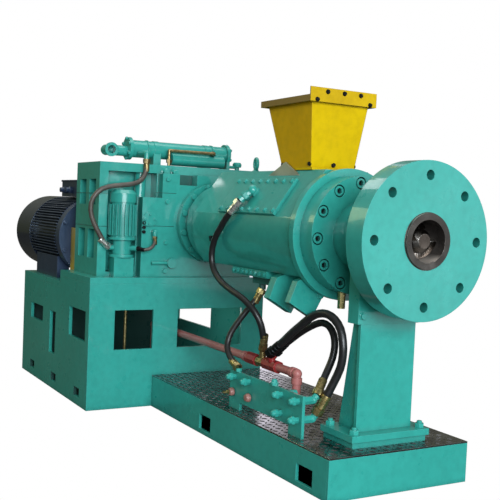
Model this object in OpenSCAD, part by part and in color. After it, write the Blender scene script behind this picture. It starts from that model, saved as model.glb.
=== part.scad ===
// Rubber extruder on a welded base: motor, gearbox, feed barrel with hopper, head flange.
// X runs along the screw towards the head, Z is up, Y = 0 is the screw's axis.
// X = 0 is the front face of the gearbox and Z = 0 is the floor.

/* [Screw and barrel] */
// Bore of the barrel
bore_d = 150; // [130:5:165]
// Height of the screw's axis over the floor
axis_h = 900; // [860:5:1000]
// Clearance between the flight and the bore, on the radius
flight_gap = 0.5; // [0.3:0.1:1.5]
// Depth of the screw's thread
flight_depth = 24; // [16:1:30]
// Advance of the flight in one turn
flight_lead = 150; // [120:5:200]
// Width of the flight's land, as an angle
flight_angle = 34; // [20:1:50]
// Diameter of the screw's shank in the gearbox
shank_d = 110; // [90:2:120]
// Running clearance of the shank, on the radius
shank_gap = 0.05; // [0.02:0.01:0.1]
// Length of the shank inside the gearbox
shank_grip = 180; // [120:10:260]
// Length of the screw's conical tip
tip_len = 70; // [40:5:110]
// Diameter of the screw's blunt nose
nose_d = 80; // [60:2:90]
// Rounding at the end of the nose
nose_round = 14; // [8:1:20]
// Distance of the tip behind the mouth of the liner
tip_setback = 22; // [10:1:60]

/* [Feed barrel] */
// Diameter of the plain barrel behind the feed block
barrel_d = 386; // [360:2:420]
// Diameter of the jacketed body under the feed block
body_d = 486; // [470:2:500]
// Depth of the body's flat underside below the screw's axis
body_floor = 170; // [160:1:180]
// Length of the feed barrel
barrel_len = 1027; // [980:1:1100]
// Height of the feed block's flat top over the screw's axis
block_top = 250; // [235:1:280]
// Half width of the feed block's flat top
block_half = 100; // [90:1:112]
// Half width of the feed block at its widest
block_wide = 234; // [222:1:236]
// Height of the feed block's widest line over the screw's axis
block_wide_z = 60; // [40:1:80]
// Distance of the block's rear end from the barrel's rear end
block_setback = 165; // [80:5:200]
// Thickness of the jacket covers
cover_t = 14; // [8:1:20]
// Length of the upper jacket cover
cover_len = 470; // [380:5:520]
// Distance of the upper jacket cover from the barrel flange
cover_setback = 145; // [120:5:200]
// Width of the upper jacket cover up its sloping face
cover_w = 178; // [160:1:190]
// Margin of the upper jacket cover at the foot of the slope
cover_margin = 2; // [1:1:10]
// Length of the lower jacket cover
lower_cover_len = 291; // [240:1:330]
// Half width of the lower jacket cover
lower_cover_half = 178; // [165:1:185]
// Thickness of the lower jacket cover
lower_cover_t = 30; // [24:1:36]
// Distance of the lower cover from the barrel flange
lower_cover_setback = 284; // [270:1:300]
// Half width of the drain box under the lower cover
drain_half = 150; // [140:1:160]
// Length of the drain box under the lower cover
drain_len = 150; // [120:5:180]
// Thickness of the rear lug under the barrel
rear_lug_t = 44; // [36:1:50]
// Distance of the rear lug from the barrel flange
rear_lug_setback = 157; // [140:1:170]
// Thickness of the front lug under the barrel
front_lug_t = 35; // [28:1:42]
// Distance of the front lug from the barrel flange
front_lug_setback = 7; // [4:1:20]

/* [Flanges] */
// Diameter of the flange on the feed barrel
flange_d = 516; // [490:2:540]
// Thickness of the flange on the feed barrel
flange_t = 30; // [24:1:40]
// Diameter of the front barrel's ring flange
ring_d = 456; // [440:2:480]
// Thickness of the front barrel's ring flange
ring_t = 82; // [70:1:95]
// Bolt circle of the ring flange
ring_pcd = 402; // [390:1:410]
// Number of screws in the ring flange
ring_screws = 12; // [8:1:16]
// Angle of the first ring screw
ring_phase = 4; // [0:1:15]
// Diameter of a counterbore in the ring flange
counterbore_d = 48; // [40:1:50]
// Depth of a counterbore in the ring flange
counterbore_h = 26; // [20:1:40]
// Diameter of the front barrel between its flanges
neck_d = 266; // [250:2:300]
// Length of the front barrel between its flanges
neck_len = 283; // [270:1:330]
// Diameter of the head flange
head_d = 560; // [540:2:600]
// Thickness of the head flange
head_t = 90; // [75:1:105]
// Bolt circle of the head flange
head_pcd = 458; // [440:1:470]
// Number of bolt holes in the head flange
head_holes = 8; // [6:1:12]
// Diameter of a bolt hole in the head flange
head_hole_d = 36; // [28:1:40]
// Outer diameter of the liner bush
liner_d = 202; // [190:1:214]
// Diameter of the liner's spigot in front of the head flange
spigot_d = 196; // [180:1:200]
// Length of the liner's spigot in front of the head flange
liner_proud = 8; // [4:1:14]

/* [Gearbox] */
// Length of the gearbox along the screw
gearbox_len = 335; // [300:5:380]
// Reach of the gearbox to the motor's side of the screw
gearbox_left = 583; // [570:1:610]
// Reach of the gearbox to the other side of the screw
gearbox_right = 260; // [250:1:280]
// Height of the gearbox over its deck
gearbox_h = 550; // [530:5:600]
// Depth of the recess in the gearbox's front
recess_depth = 75; // [60:1:90]
// Width of the gearbox's front column beside the recess
column_w = 44; // [36:1:52]
// Height of the bar over the recess
lintel_h = 42; // [34:1:50]
// Width of the recess beside the pump
recess_w = 150; // [140:1:155]
// Width of the shallow bay beside the recess
bay_w = 102; // [90:1:110]
// Height of the shallow bay
bay_h = 120; // [100:1:140]
// Width of the side pockets
side_pocket_w = 92; // [84:1:100]
// Radius of the round column in the bay
bay_column_r = 27; // [22:1:32]
// Height of the sill under the recess
sill_h = 20; // [14:1:30]
// Gap between the recess and the bearing plate
plate_room = 6; // [3:1:10]
// Margin of the bearing plate at the gearbox's far side
plate_margin = 30; // [20:1:40]
// Width of the notch in the bearing plate's top
notch_w = 95; // [80:1:110]
// Depth of the notch in the bearing plate's top
notch_h = 53; // [44:1:62]
// Distance of the notch from the screw's axis
notch_y = 95; // [85:1:105]
// Thickness of the bearing plate on the gearbox's front
bearing_plate_t = 60; // [50:1:70]
// Depth of the pockets in the gearbox's side
pocket_depth = 40; // [25:1:60]
// Thickness of the barrel seat's flange
seat_t = 35; // [25:1:45]
// Diameter of the barrel seat's flange
seat_d = 400; // [390:2:420]
// Length of the groove between seat and barrel
groove_len = 70; // [60:1:90]
// Diameter of the groove between seat and barrel
groove_d = 330; // [310:2:350]

/* [Base] */
// Length of the base
base_len = 1120; // [1100:5:1200]
// Reach of the base to the motor's side of the screw
base_left = 646; // [630:1:680]
// Reach of the base to the other side of the screw
base_right = 298; // [285:1:310]
// Distance of the base's front wall before the gearbox
base_front = 93; // [85:1:120]
// Depth of the gearbox deck below the screw's axis
deck_drop = 270; // [260:1:290]
// Drop from the gearbox deck to the motor deck
deck_step = 58; // [46:1:70]
// Thickness of the decks
deck_t = 30; // [24:1:36]
// Thickness of the base's walls
wall_t = 16; // [12:1:20]
// Room of the gearbox deck behind the gearbox
deck_room = 10; // [5:1:20]
// Height of the window sills, as a share of the base's height
sill_share = 0.45; // [0.42:0.01:0.48]
// Height of the windows' tops, as a share of the base's height
head_share = 0.752; // [0.7:0.002:0.8]
// Width of the base's left front window
small_window_w = 199; // [180:1:210]
// Width of the base's right front window
large_window_w = 360; // [340:1:370]
// Distance of the large window's left edge from the screw's axis
large_window_y = 188; // [180:1:196]
// Distance of the small windows from the base's sides
small_window_inset = 128; // [116:1:140]

/* [Plinth and pedestal] */
// Height of the plinth with its tread plate
plinth_h = 153; // [140:1:170]
// Half width of the plinth
plinth_half = 314; // [306:1:330]
// Distance of the plinth's front end behind the head's face
plinth_setback = 75; // [60:1:100]
// Thickness of the tread plate
tread_t = 6; // [4:1:10]
// Thickness of the plinth's rails
rail_t = 12; // [8:1:16]
// Thickness of the pad under the pedestal
pad_t = 23; // [16:1:30]
// Setback of the pad under the foot's edges
pad_inset = 9; // [4:1:14]
// Thickness of the pedestal's foot
foot_t = 24; // [18:1:30]
// Half width of the pedestal's foot
foot_half = 176; // [165:1:190]
// Length of the pedestal's foot
foot_len = 200; // [190:1:220]
// Distance of the pedestal's foot behind the head's face
foot_setback = 135; // [130:1:150]
// Distance of the pedestal's front plate behind the foot's front edge
post_setback = 48; // [40:1:56]
// Half width of the pedestal's front plate
post_half = 126; // [110:1:140]
// Thickness of the pedestal's plates
post_t = 16; // [12:1:22]
// Depth of the pedestal's webs at the foot
web_deep = 110; // [95:1:125]
// Depth of the pedestal's webs at the top
web_shallow = 46; // [40:1:56]
// Depth of the pedestal's top below the screw's axis
post_drop = 310; // [290:1:320]
// Depth of the saddle's top below the screw's axis
saddle_drop = 60; // [50:1:70]
// Overhang of the front plate beside the webs
web_inset = 14; // [8:1:20]
// Half width of the saddle
saddle_half = 140; // [134:1:150]
// Length of the lifting slots in the plinth's rails
slot_len = 105; // [90:1:120]
// Height of the lifting slots in the plinth's rails
slot_h = 64; // [50:1:76]
// Height of the lifting slots over the floor
slot_z = 20; // [15:1:30]
// Distance of the rear lifting slot from the base
rear_slot_in = 528; // [480:1:560]
// Distance of the front lifting slot from the plinth's front end
front_slot_in = 97; // [80:1:120]

/* [Hopper] */
// Distance of the hopper's foot from the barrel flange
hopper_setback = 100; // [95:5:120]
// Length of the hopper's foot
hopper_foot_len = 215; // [200:1:230]
// Half width of the hopper's foot
hopper_foot_half = 105; // [98:1:110]
// Thickness of the hopper's foot flange
hopper_flange_t = 10; // [6:1:14]
// Height of the hopper's sloping walls
hopper_h = 273; // [250:1:300]
// Overhang of the hopper's mouth towards the head
hopper_front_flare = 35; // [20:1:50]
// Overhang of the hopper's mouth towards the gearbox
hopper_rear_flare = 85; // [70:1:100]
// Overhang of the hopper's mouth on each side
hopper_side_flare = 33; // [20:1:45]
// Thickness of the hopper's sheet
sheet_t = 5; // [4:1:8]
// Leg of the angle round the hopper's mouth
angle_leg = 26; // [20:1:32]
// Height of the lip on the hopper's mouth
lip_h = 30; // [24:1:40]
// Thickness of the guard plate beside the hopper's foot
shield_t = 6; // [4:1:8]
// Length of the guard plate's foot
shield_len_x = 266; // [240:1:280]
// Height of the guard plate's peak over the feed block
shield_peak = 34; // [24:1:44]
// Distance of the guard plate from the hopper's foot
shield_gap = 5; // [3:1:8]

/* [Motor] */
// Distance of the motor's shaft from the screw's axis
motor_y = 430; // [415:1:440]
// Height of the motor's shaft over its deck
shaft_h = 225; // [215:1:240]
// Diameter of the motor's frame without fins
frame_d = 372; // [350:2:390]
// Height of the cooling fins
fin_h = 24; // [16:1:30]
// Thickness of a cooling fin
fin_t = 6; // [4:1:8]
// Number of cooling fins
fin_count = 27; // [19:2:31]
// Arc of the frame that carries fins, as an angle
fin_spread = 234; // [200:2:240]
// Distance of the fins from the ends of the frame
fin_end = 8; // [4:1:14]
// Length of the finned frame
frame_len = 480; // [440:5:520]
// Length of the end shield at the drive end
shield_len = 66; // [50:1:80]
// Length of the fan cover
fan_cover_len = 280; // [240:5:300]
// Diameter of the fan cover
fan_cover_d = 420; // [410:2:430]
// Distance from the gearbox to the motor's end shield
coupling_gap = 100; // [90:1:120]
// Diameter of the coupling guard
guard_d = 260; // [220:2:290]
// Length of the terminal box
box_len = 250; // [220:5:280]
// Half width of the terminal box
box_half = 95; // [85:1:105]
// Height of the terminal box
box_h = 82; // [70:1:95]
// Distance of the terminal box from the frame's drive end
box_setback = 12; // [6:1:30]
// Width of a motor foot
motor_foot_w = 66; // [56:1:76]
// Height of a motor foot
motor_foot_h = 115; // [105:1:125]

/* [Oil cooler and pump] */
// Diameter of the oil cooler's shell
cooler_d = 86; // [76:1:96]
// Diameter of the oil cooler's end flanges
cooler_flange_d = 112; // [104:1:120]
// Distance of the cooler's axis behind the gearbox's front
cooler_back = 120; // [100:1:150]
// Height of the cooler's axis over the gearbox
cooler_up = 78; // [70:1:90]
// Reach of the cooler to the motor's side of the screw
cooler_left = 405; // [390:1:420]
// Reach of the cooler to the other side of the screw
cooler_right = 158; // [140:1:180]
// Diameter of the small drum under the cooler
drum_d = 64; // [56:1:70]
// Diameter of the copper pipe along the cooler
copper_d = 16; // [12:1:20]
// Thickness of the cooler's end flanges
cooler_end_t = 18; // [14:1:24]
// Width of a saddle under the cooler
saddle_w = 40; // [30:1:50]
// Diameter of the pump motor
pump_motor_d = 140; // [132:1:142]
// Height of the pump motor
pump_motor_h = 180; // [165:1:190]
// Height of the oil pump under its motor
pump_h = 70; // [60:1:80]
// Height of the bracket under the oil pump
pump_bracket_h = 108; // [95:1:120]

/* [Water service] */
// Distance of the manifold panel from the screw's axis
panel_y = 270; // [262:1:276]
// Thickness of the manifold panel
panel_t = 12; // [8:1:16]
// Length of the manifold panel
panel_len = 555; // [520:5:580]
// Height of the manifold panel's top over the tread plate
panel_top = 158; // [150:1:170]
// Height of the gap under the manifold panel
panel_gap = 33; // [25:1:45]
// Distance of the panel's front end behind the head's face
panel_setback = 319; // [305:1:335]
// Diameter of the water pipe
pipe_d = 34; // [28:1:38]
// Height of the water pipe over the floor
pipe_z = 350; // [340:1:356]
// Distance of the water pipe from the screw's axis
pipe_y = 165; // [160:1:168]
// Distance of the pipe's front elbow behind the panel's front end
pipe_setback = 206; // [190:1:220]
// Length of the pipe inside the base
pipe_in = 340; // [300:5:360]
// Radius of the valves on the pipe
valve_r = 26; // [23:1:29]
// Radius of the outlets on the valves
outlet_r = 15; // [13:1:17]
// Radius of the hose nipples on the panel
nipple_r = 16; // [14:1:18]
// Length of the hose nipples behind the panel
nipple_len = 52; // [44:1:60]

/* [Hoses] */
// Diameter of the upper jacket hose
upper_hose_d = 28; // [22:1:30]
// Diameter of the lower jacket hose
lower_hose_d = 26; // [20:1:28]
// Diameter of the outer loop hose
outer_loop_d = 32; // [26:1:34]
// Diameter of the inner loop hose
inner_loop_d = 28; // [22:1:30]
// Diameter of the braided oil hose
oil_hose_d = 24; // [20:1:28]
// Diameter of the suction hose
suction_hose_d = 16; // [12:1:18]

/* [Hidden] */

// Paints
teal = [0.17, 0.6, 0.55];
dark_teal = [0.14, 0.48, 0.42];
yellow = [0.88, 0.74, 0.06];
motor_blue = [0.2, 0.24, 0.3];
steel = [0.45, 0.46, 0.47];
pipe_red = [0.72, 0.38, 0.38];
hose_black = [0.06, 0.06, 0.06];
copper = [0.7, 0.42, 0.3];
brass = [0.66, 0.54, 0.26];
bare_sheet = [0.72, 0.73, 0.74];

// Fineness of round surfaces
round_fn = 96;
small_fn = 48;
// Reach of a cut past the face that it opens
cut = 1;

// Places along the screw
seat_x = bearing_plate_t;
groove_x = seat_x + seat_t;
barrel_x = groove_x + groove_len;
flange_x = barrel_x + barrel_len;
ring_x = flange_x + flange_t;
neck_x = ring_x + ring_t;
head_x = neck_x + neck_len;
face_x = head_x + head_t;
mouth_x = face_x + liner_proud;
bore_r = bore_d / 2;
flight_r = bore_r - flight_gap;
root_r = flight_r - flight_depth;

// Places of the base
base_h = axis_h - deck_drop;
window_z = [sill_share * base_h, head_share * base_h];
base_x1 = base_front;
base_x0 = base_front - base_len;
step_x = -gearbox_len - deck_room;
motor_deck_z = base_h - deck_step;
gearbox_z1 = base_h + gearbox_h;

// Places of the motor
motor_z = motor_deck_z + shaft_h;
motor_x1 = -gearbox_len - coupling_gap;
frame_x1 = motor_x1 - shield_len;
frame_x0 = frame_x1 - frame_len;
fan_x0 = frame_x0 - fan_cover_len;
fin_root = 8;
shield_step = 4;
rear_foot_in = 60;
front_foot_in = 40;
grille_r = [60, 100, 140, 180];
grille_w = 16;
grille_deep = 6;

// Places of the hopper
hopper_x1 = flange_x - hopper_setback;
hopper_x0 = hopper_x1 - hopper_foot_len;
hopper_z0 = axis_h + block_top + hopper_flange_t;
hopper_z1 = hopper_z0 + hopper_h;
hopper_mouth_x0 = hopper_x0 - hopper_rear_flare;
hopper_mouth_x1 = hopper_x1 + hopper_front_flare;
hopper_mouth_half = hopper_foot_half + hopper_side_flare;
throat_margin = 14;
throat_step = 8;
throat_half = bore_r - throat_step;
hopper_ledge = 8;
shield_back = 104;
shield_foot = 28;
shield_peak_share = 0.54;
lip_hole_r = 6;

// Places of the plinth and the pedestal
plinth_x1 = face_x - plinth_setback;
rail_h = plinth_h - tread_t;
foot_x1 = face_x - foot_setback;
foot_z = plinth_h + pad_t;
post_x1 = foot_x1 - post_setback;
post_z = foot_z + foot_t;
post_top = axis_h - post_drop;

// Places of the water service
panel_x1 = face_x - panel_setback;
panel_x0 = panel_x1 - panel_len;
panel_z1 = plinth_h + panel_top;
pipe_x1 = panel_x1 - pipe_setback;
pipe_x0 = base_x1 - pipe_in;
elbow_swell = 3;
tee_len = 54;
tee_setback = 446;
tee_step = 4;
tee_h = 50;
ring_port_y = 50;
ring_port_r = 15;
ring_port_drop = 282;
tee_x = [panel_x1 - tee_setback - tee_len, panel_x1 - tee_setback];
rear_valve_len = 80;
rear_valve_gap = 8;
rear_valve_x1 = tee_x[0] - rear_valve_gap;
front_valve_len = 103;
outer_outlet_in = 64;
inner_outlet_in = 16;
outer_outlet_x = tee_x[1] + outer_outlet_in;
inner_outlet_x = tee_x[1] + inner_outlet_in;
outlet_len = 56;
outer_outlet_lean = 24;
inner_outlet_lean = 41;
panel_leg_w = 90;
front_stub = 26;
front_stub_r = 13;
stub_in = [392, 509];
top_nipple_in = 496;
top_nipple_h = 14;
top_nipple_r = 14;
nipple_in = 28;
nipple_drop = 22;
nipple_stub_d = 28;
nipple_pitch_x = 118;
nipple_pitch_z = 70;
nipple_x = panel_x1 - nipple_in;
nipple_z = panel_z1 - nipple_drop;

// Places of the pump
pump_x = 20;
pump_fin_count = 20;
pump_fin_t = 6;
pump_fin_end = 10;
pump_fin_h = 16;
pump_flange_t = 12;
pump_cap_h = 44;
pump_dome_h = 16;
pump_body_r = 46;
pump_foot_r = 58;
pump_foot_t = 14;
bracket_half = 50;
bracket_x = 40;
port_r = 13;
port_up = 32;
port_len = 64;
suction_port_len = 80;
suction_port_turn = 45;
pump_y = -gearbox_left + column_w + recess_w / 2 - 4;
pump_z0 = base_h + pump_bracket_h;
pump_motor_z = pump_z0 + pump_h;
port_z = pump_z0 + port_up;

// Routes of the hoses for an axis at this height
route_axis_h = 900;
upper_hose_route = [
  [776, -244, 1018], [750, -258, 984], [708, -268, 944], [660, -266, 904], [612, -264, 862],
  [578, -262, 808], [572, -260, 750], [602, -258, 700], [664, -254, 662], [740, -248, 636],
  [816, -238, 612], [872, -222, 578], [902, -202, 534], [906, -184, 484], [896, -170, 438],
  [885, -165, 400]
];
lower_hose_route = [
  [800, -130, 646], [792, -146, 612], [784, -168, 580], [774, -192, 546], [762, -216, 508],
  [750, -238, 468], [746, -254, 430], [756, -264, 394], [784, -266, 362], [824, -264, 338],
  [862, -264, 325]
];
outer_loop_route = [
  [976, -188, 400], [1022, -182, 434], [1068, -176, 470], [1112, -170, 506], [1160, -162, 542],
  [1206, -154, 576], [1250, -146, 598], [1296, -138, 603], [1340, -132, 588], [1374, -128, 556],
  [1392, -128, 512], [1396, -128, 464], [1386, -130, 412], [1368, -144, 356], [1350, -166, 294],
  [1330, -190, 234]
];
inner_loop_route = [
  [928, -128, 392], [964, -114, 428], [1006, -104, 460], [1050, -98, 490], [1098, -92, 518],
  [1148, -86, 542], [1194, -84, 554], [1236, -82, 546], [1268, -82, 518], [1284, -86, 478],
  [1288, -96, 434], [1294, -120, 390], [1310, -154, 348], [1330, -190, 304]
];
oil_hose_route = [
  [14, -352, 1205], [14, -352, 1164], [18, -364, 1120], [30, -400, 1088], [36, -455, 1074],
  [36, -520, 1066], [34, -582, 1048], [26, -622, 1004], [20, -630, 946], [20, -612, 886],
  [20, -582, 832], [20, -556, 792], [20, -532, 770]
];
suction_hose_route = [
  [76, -412, 770], [91, -396, 767], [102, -375, 766], [105, -351, 774], [99, -333, 791],
  [88, -324, 810], [80, -322, 830]
];

// The upper ends of the barrel's hoses go with the axis, the lower ends stay
route_low = 400;
route_high = 620;
hose_rise = axis_h - route_axis_h;
function follow(z) = min(1, max(0, (z - route_low) / (route_high - route_low)));
function with_axis(route) = [for (p = route) [p[0], p[1], p[2] + hose_rise * follow(p[2])]];

// Shapes used by several pieces
module block(x, y, z) {
  translate([x[0], y[0], z[0]]) cube([x[1] - x[0], y[1] - y[0], z[1] - z[0]]);
}

module rod_x(x, r, fn = round_fn) {
  translate([x[0], 0, 0]) rotate([0, 90, 0]) cylinder(h = x[1] - x[0], r = r, $fn = fn);
}

module rod_y(y, r, fn = small_fn) {
  translate([0, y[0], 0]) rotate([-90, 0, 0]) cylinder(h = y[1] - y[0], r = r, $fn = fn);
}

module rod_z(z, r, fn = small_fn) {
  translate([0, 0, z[0]]) cylinder(h = z[1] - z[0], r = r, $fn = fn);
}

module on_axis() {
  translate([0, 0, axis_h]) children();
}

module round_x(count, pcd, phase = 0) {
  for (i = [0 : count - 1]) {
    rotate([phase + 360 * i / count, 0, 0]) translate([0, pcd / 2, 0]) children();
  }
}

// A tube of eight sides swept along a route
function unit(v) = v / norm(v);
function heading(p, i) = unit(p[min(i + 1, len(p) - 1)] - p[max(i - 1, 0)]);
function side_of(d) = abs(d[2]) > 0.9 ? unit(cross(d, [0, 1, 0])) : unit(cross(d, [0, 0, 1]));
function turned(s, d) = unit(s - d * (s * d));
function sides(p, i) = i == 0 ? side_of(heading(p, 0)) : turned(sides(p, i - 1), heading(p, i));
hose_sides = 8;

module hose(route, d) {
  n = len(route);
  rings = [for (i = [0 : n - 1]) let (h = heading(route, i), s = sides(route, i), t = cross(h, s))
    for (k = [0 : hose_sides - 1]) let (a = 360 * k / hose_sides)
      route[i] + d / 2 * (cos(a) * s + sin(a) * t)];
  walls = [for (i = [0 : n - 2], k = [0 : hose_sides - 1])
    let (m = (k + 1) % hose_sides, a = i * hose_sides, b = a + hose_sides)
      [a + k, b + k, b + m, a + m]];
  ends = [[for (k = [0 : hose_sides - 1]) k],
    [for (k = [hose_sides - 1 : -1 : 0]) (n - 1) * hose_sides + k]];
  polyhedron(points = rings, faces = concat(walls, ends), convexity = 6);
}

// Base
module base_front_wall() {
  color(teal) difference() {
    block([base_x1 - wall_t, base_x1], [-base_left, base_right], [0, base_h - deck_t]);
    for (w = [[small_window_inset - base_left, small_window_w], [-large_window_y, large_window_w]]) {
      block([base_x1 - wall_t - cut, base_x1 + cut], [w[0], w[0] + w[1]], window_z);
    }
  }
}

// Windows of the side walls: rear end, front end, sill and top, as shares of the base
left_windows = [[0.258, 0.043, 0.508, 0.738], [0.545, 0.458, 0.289, 0.64], [0.861, 0.66, 0.51, 0.646],
  [0.854, 0.782, 0.063, 0.133], [0.501, 0.429, 0.063, 0.133], [0.167, 0.096, 0.063, 0.133]];
right_windows = [[0.137, 0.043, sill_share, head_share], [0.896, 0.495, sill_share, head_share]];

// One side wall of the base, from y[0] to y[1], with its windows
module side_wall(y, windows) {
  difference() {
    union() {
      block([step_x, base_x1 - wall_t], y, [0, base_h - deck_t]);
      block([base_x0 + wall_t, step_x], y, [0, motor_deck_z - deck_t]);
    }
    for (w = windows) {
      block([base_x1 - w[0] * base_len, base_x1 - w[1] * base_len], [y[0] - cut, y[1] + cut],
        [w[2] * base_h, w[3] * base_h]);
    }
  }
}

module base_left_wall() {
  color(dark_teal) side_wall([-base_left, -base_left + wall_t], left_windows);
}

module base_right_wall() {
  color(dark_teal) side_wall([base_right - wall_t, base_right], right_windows);
}

module base_rear_wall() {
  color(dark_teal) block([base_x0, base_x0 + wall_t], [-base_left, base_right],
    [0, motor_deck_z - deck_t]);
}

module base_floor() {
  color(dark_teal) block([base_x0 + wall_t, base_x1 - wall_t],
    [-base_left + wall_t, base_right - wall_t], [0, wall_t]);
}

module gearbox_deck() {
  color(teal) block([step_x, base_x1], [-base_left, base_right], [base_h - deck_t, base_h]);
}

module motor_deck() {
  color(teal) block([base_x0, step_x], [-base_left, base_right], [motor_deck_z - deck_t, motor_deck_z]);
}

module deck_riser() {
  color(teal) block([step_x - wall_t, step_x], [-base_left, base_right], [motor_deck_z, base_h]);
}

// Plinth and pedestal
module plinth_side_rail(y) {
  difference() {
    block([base_x1, plinth_x1 - rail_t], y, [0, rail_h]);
    for (x = [base_x1 + rear_slot_in, plinth_x1 - front_slot_in - slot_len]) {
      block([x, x + slot_len], [y[0] - cut, y[1] + cut], [slot_z, slot_z + slot_h]);
    }
  }
}

module plinth_left_rail() {
  color(teal) plinth_side_rail([-plinth_half, -plinth_half + rail_t]);
}

module plinth_right_rail() {
  color(teal) plinth_side_rail([plinth_half - rail_t, plinth_half]);
}

module plinth_front_rail() {
  color(teal) block([plinth_x1 - rail_t, plinth_x1], [-plinth_half, plinth_half], [0, rail_h]);
}

module tread_plate() {
  color(steel) block([base_x1, plinth_x1], [-plinth_half, plinth_half], [rail_h, plinth_h]);
}

module pedestal_pad() {
  color(dark_teal) block([foot_x1 - foot_len + pad_inset, foot_x1 - pad_inset],
    [pad_inset - foot_half, foot_half - pad_inset], [plinth_h, foot_z]);
}

module pedestal_foot() {
  color(teal) block([foot_x1 - foot_len, foot_x1], [-foot_half, foot_half], [foot_z, post_z]);
}

module pedestal_post() {
  web_y = post_half - web_inset - post_t;
  color(teal) {
    block([post_x1 - post_t, post_x1], [-post_half, post_half], [post_z, post_top]);
    for (y = [-web_y - post_t, web_y]) {
      translate([post_x1 - post_t, y + post_t, 0]) rotate([90, 0, 0]) linear_extrude(post_t)
        polygon([[0, post_z], [0, post_top], [-web_shallow, post_top], [-web_deep, post_z]]);
    }
  }
}

module pedestal_saddle() {
  color(teal) difference() {
    block([post_x1 - post_t - web_shallow, post_x1], [-saddle_half, saddle_half],
      [post_top, axis_h - saddle_drop]);
    on_axis() rod_x([neck_x, head_x], neck_d / 2);
  }
}

// Gearbox
pocket_x = [-0.84 * gearbox_len, -0.427 * gearbox_len];
pocket_z = [[0.147, 0.405], [0.622, 0.847]];
plate_y0 = -gearbox_left + column_w + recess_w + plate_room;
plate_y1 = gearbox_right - plate_margin;
plate_z = [base_h, gearbox_z1 - lintel_h - bay_h, gearbox_z1 - lintel_h];
suction_in = 61;
suction_up = 220;
suction_y = plate_y0 + suction_in;
suction_z = base_h + suction_up;
suction_out = 20;
suction_r = 12;
round_cover_in = 38;
round_cover_up = 282;
round_cover_t = 8;
round_cover_r = 36;
shank_room = 4;
drain_in = 159;
drain_up = 69;
drain_y = plate_y0 + drain_in;
drain_z = base_h + drain_up;
drain_boss_t = 24;
drain_boss_r = 25;
drain_pipe_r = 8;
drain_pipe_len = 106;

module gearbox_housing() {
  recess_y = -gearbox_left + column_w;
  bay_y = recess_y + recess_w;
  recess_z = [base_h + sill_h, gearbox_z1 - lintel_h];
  color(teal) difference() {
    union() {
      difference() {
        block([-gearbox_len, 0], [-gearbox_left, gearbox_right], [base_h, gearbox_z1]);
        block([-recess_depth, cut], [recess_y, bay_y], recess_z);
        block([-recess_depth, cut], [bay_y - cut, bay_y + bay_w], [recess_z[1] - bay_h, recess_z[1]]);
      }
      translate([bay_column_r - recess_depth - cut, bay_y + bay_w / 3, 0])
        rod_z([recess_z[1] - bay_h - cut, recess_z[1] + cut], bay_column_r);
    }
    for (x = pocket_x, z = pocket_z) {
      block([x, x + side_pocket_w], [-gearbox_left - cut, -gearbox_left + pocket_depth],
        [base_h + z[0] * gearbox_h, base_h + z[1] * gearbox_h]);
    }
    on_axis() rod_x([-shank_grip, cut], shank_d / 2 + shank_gap);
  }
}

module bearing_plate() {
  color(teal) difference() {
    union() {
      block([0, bearing_plate_t], [plate_y0, plate_y1], [plate_z[0], plate_z[1]]);
      block([0, bearing_plate_t], [plate_y0 + bay_w, plate_y1], [plate_z[1], plate_z[2]]);
      translate([bearing_plate_t, suction_y, suction_z]) {
        rod_x([-cut, suction_out], suction_r, small_fn);
        translate([suction_out, 0, 0]) {
          sphere(r = suction_r, $fn = small_fn);
          rod_z([-suction_out, 0], suction_r);
        }
      }
      translate([bearing_plate_t, plate_y0 + round_cover_in, base_h + round_cover_up])
        rod_x([-cut, round_cover_t], round_cover_r, small_fn);
      translate([bearing_plate_t, drain_y, drain_z]) {
        rod_x([-cut, drain_boss_t], drain_boss_r, small_fn);
        translate([drain_boss_t / 2, 0, 0]) rod_y([-drain_pipe_len, 0], drain_pipe_r);
      }
    }
    on_axis() rod_x([-cut, bearing_plate_t + cut], shank_d / 2 + shank_room);
    block([-cut, bearing_plate_t + cut], [-notch_y - notch_w, -notch_y],
      [plate_z[2] - notch_h, plate_z[2] + cut]);
  }
}

module barrel_seat() {
  color(teal) on_axis() difference() {
    union() {
      rod_x([seat_x, groove_x], seat_d / 2);
      rod_x([groove_x, barrel_x], groove_d / 2);
    }
    rod_x([seat_x - cut, barrel_x + cut], shank_d / 2 + shank_room);
  }
}

// Barrel
module feed_barrel() {
  block_x = barrel_x + block_setback;
  color(teal) on_axis() difference() {
    union() {
      rod_x([barrel_x, block_x + cut], barrel_d / 2);
      intersection() {
        rod_x([block_x, flange_x], body_d / 2);
        block([block_x, flange_x], [-body_d, body_d], [-body_floor, block_wide_z]);
      }
      translate([block_x, 0, 0]) rotate([90, 0, 90]) linear_extrude(flange_x - block_x)
        polygon([[-block_half, block_top], [block_half, block_top], [block_wide, block_wide_z],
          [-block_wide, block_wide_z]]);
    }
    rod_x([barrel_x - cut, flange_x + cut], bore_r);
    block([hopper_x0 + throat_margin, hopper_x1 - throat_margin], [-throat_half, throat_half],
      [0, block_top + cut]);
  }
}

// The sloping face of the feed block on the motor's side
slope_run = block_wide - block_half;
slope_rise = block_top - block_wide_z;
slope_len = sqrt(slope_run * slope_run + slope_rise * slope_rise);
slope_angle = atan2(slope_rise, slope_run);

// The water elbow on the upper cover, in the slope's frame
elbow_x = 800;
elbow_up = 105;
elbow_out = 31;
elbow_boss_r = 20;
elbow_r = 22;
elbow_arm_r = 16;
elbow_arm = [[0, 0, 0], [-24, -63, 11]];
elbow_nut_r = 24;
elbow_nut_h = 8;
body_z0 = axis_h - body_floor;
cover_z0 = body_z0 - lower_cover_t;
drain_z0 = cover_z0 - lower_cover_t;
drain_port_y = -130;
drain_port_r = 15;
drain_port_h = 26;

// A frame on the sloping face: X along the barrel, Y up the slope, Z outwards
module on_slope() {
  translate([0, -block_wide, axis_h + block_wide_z]) rotate([slope_angle, 0, 0]) children();
}

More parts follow.
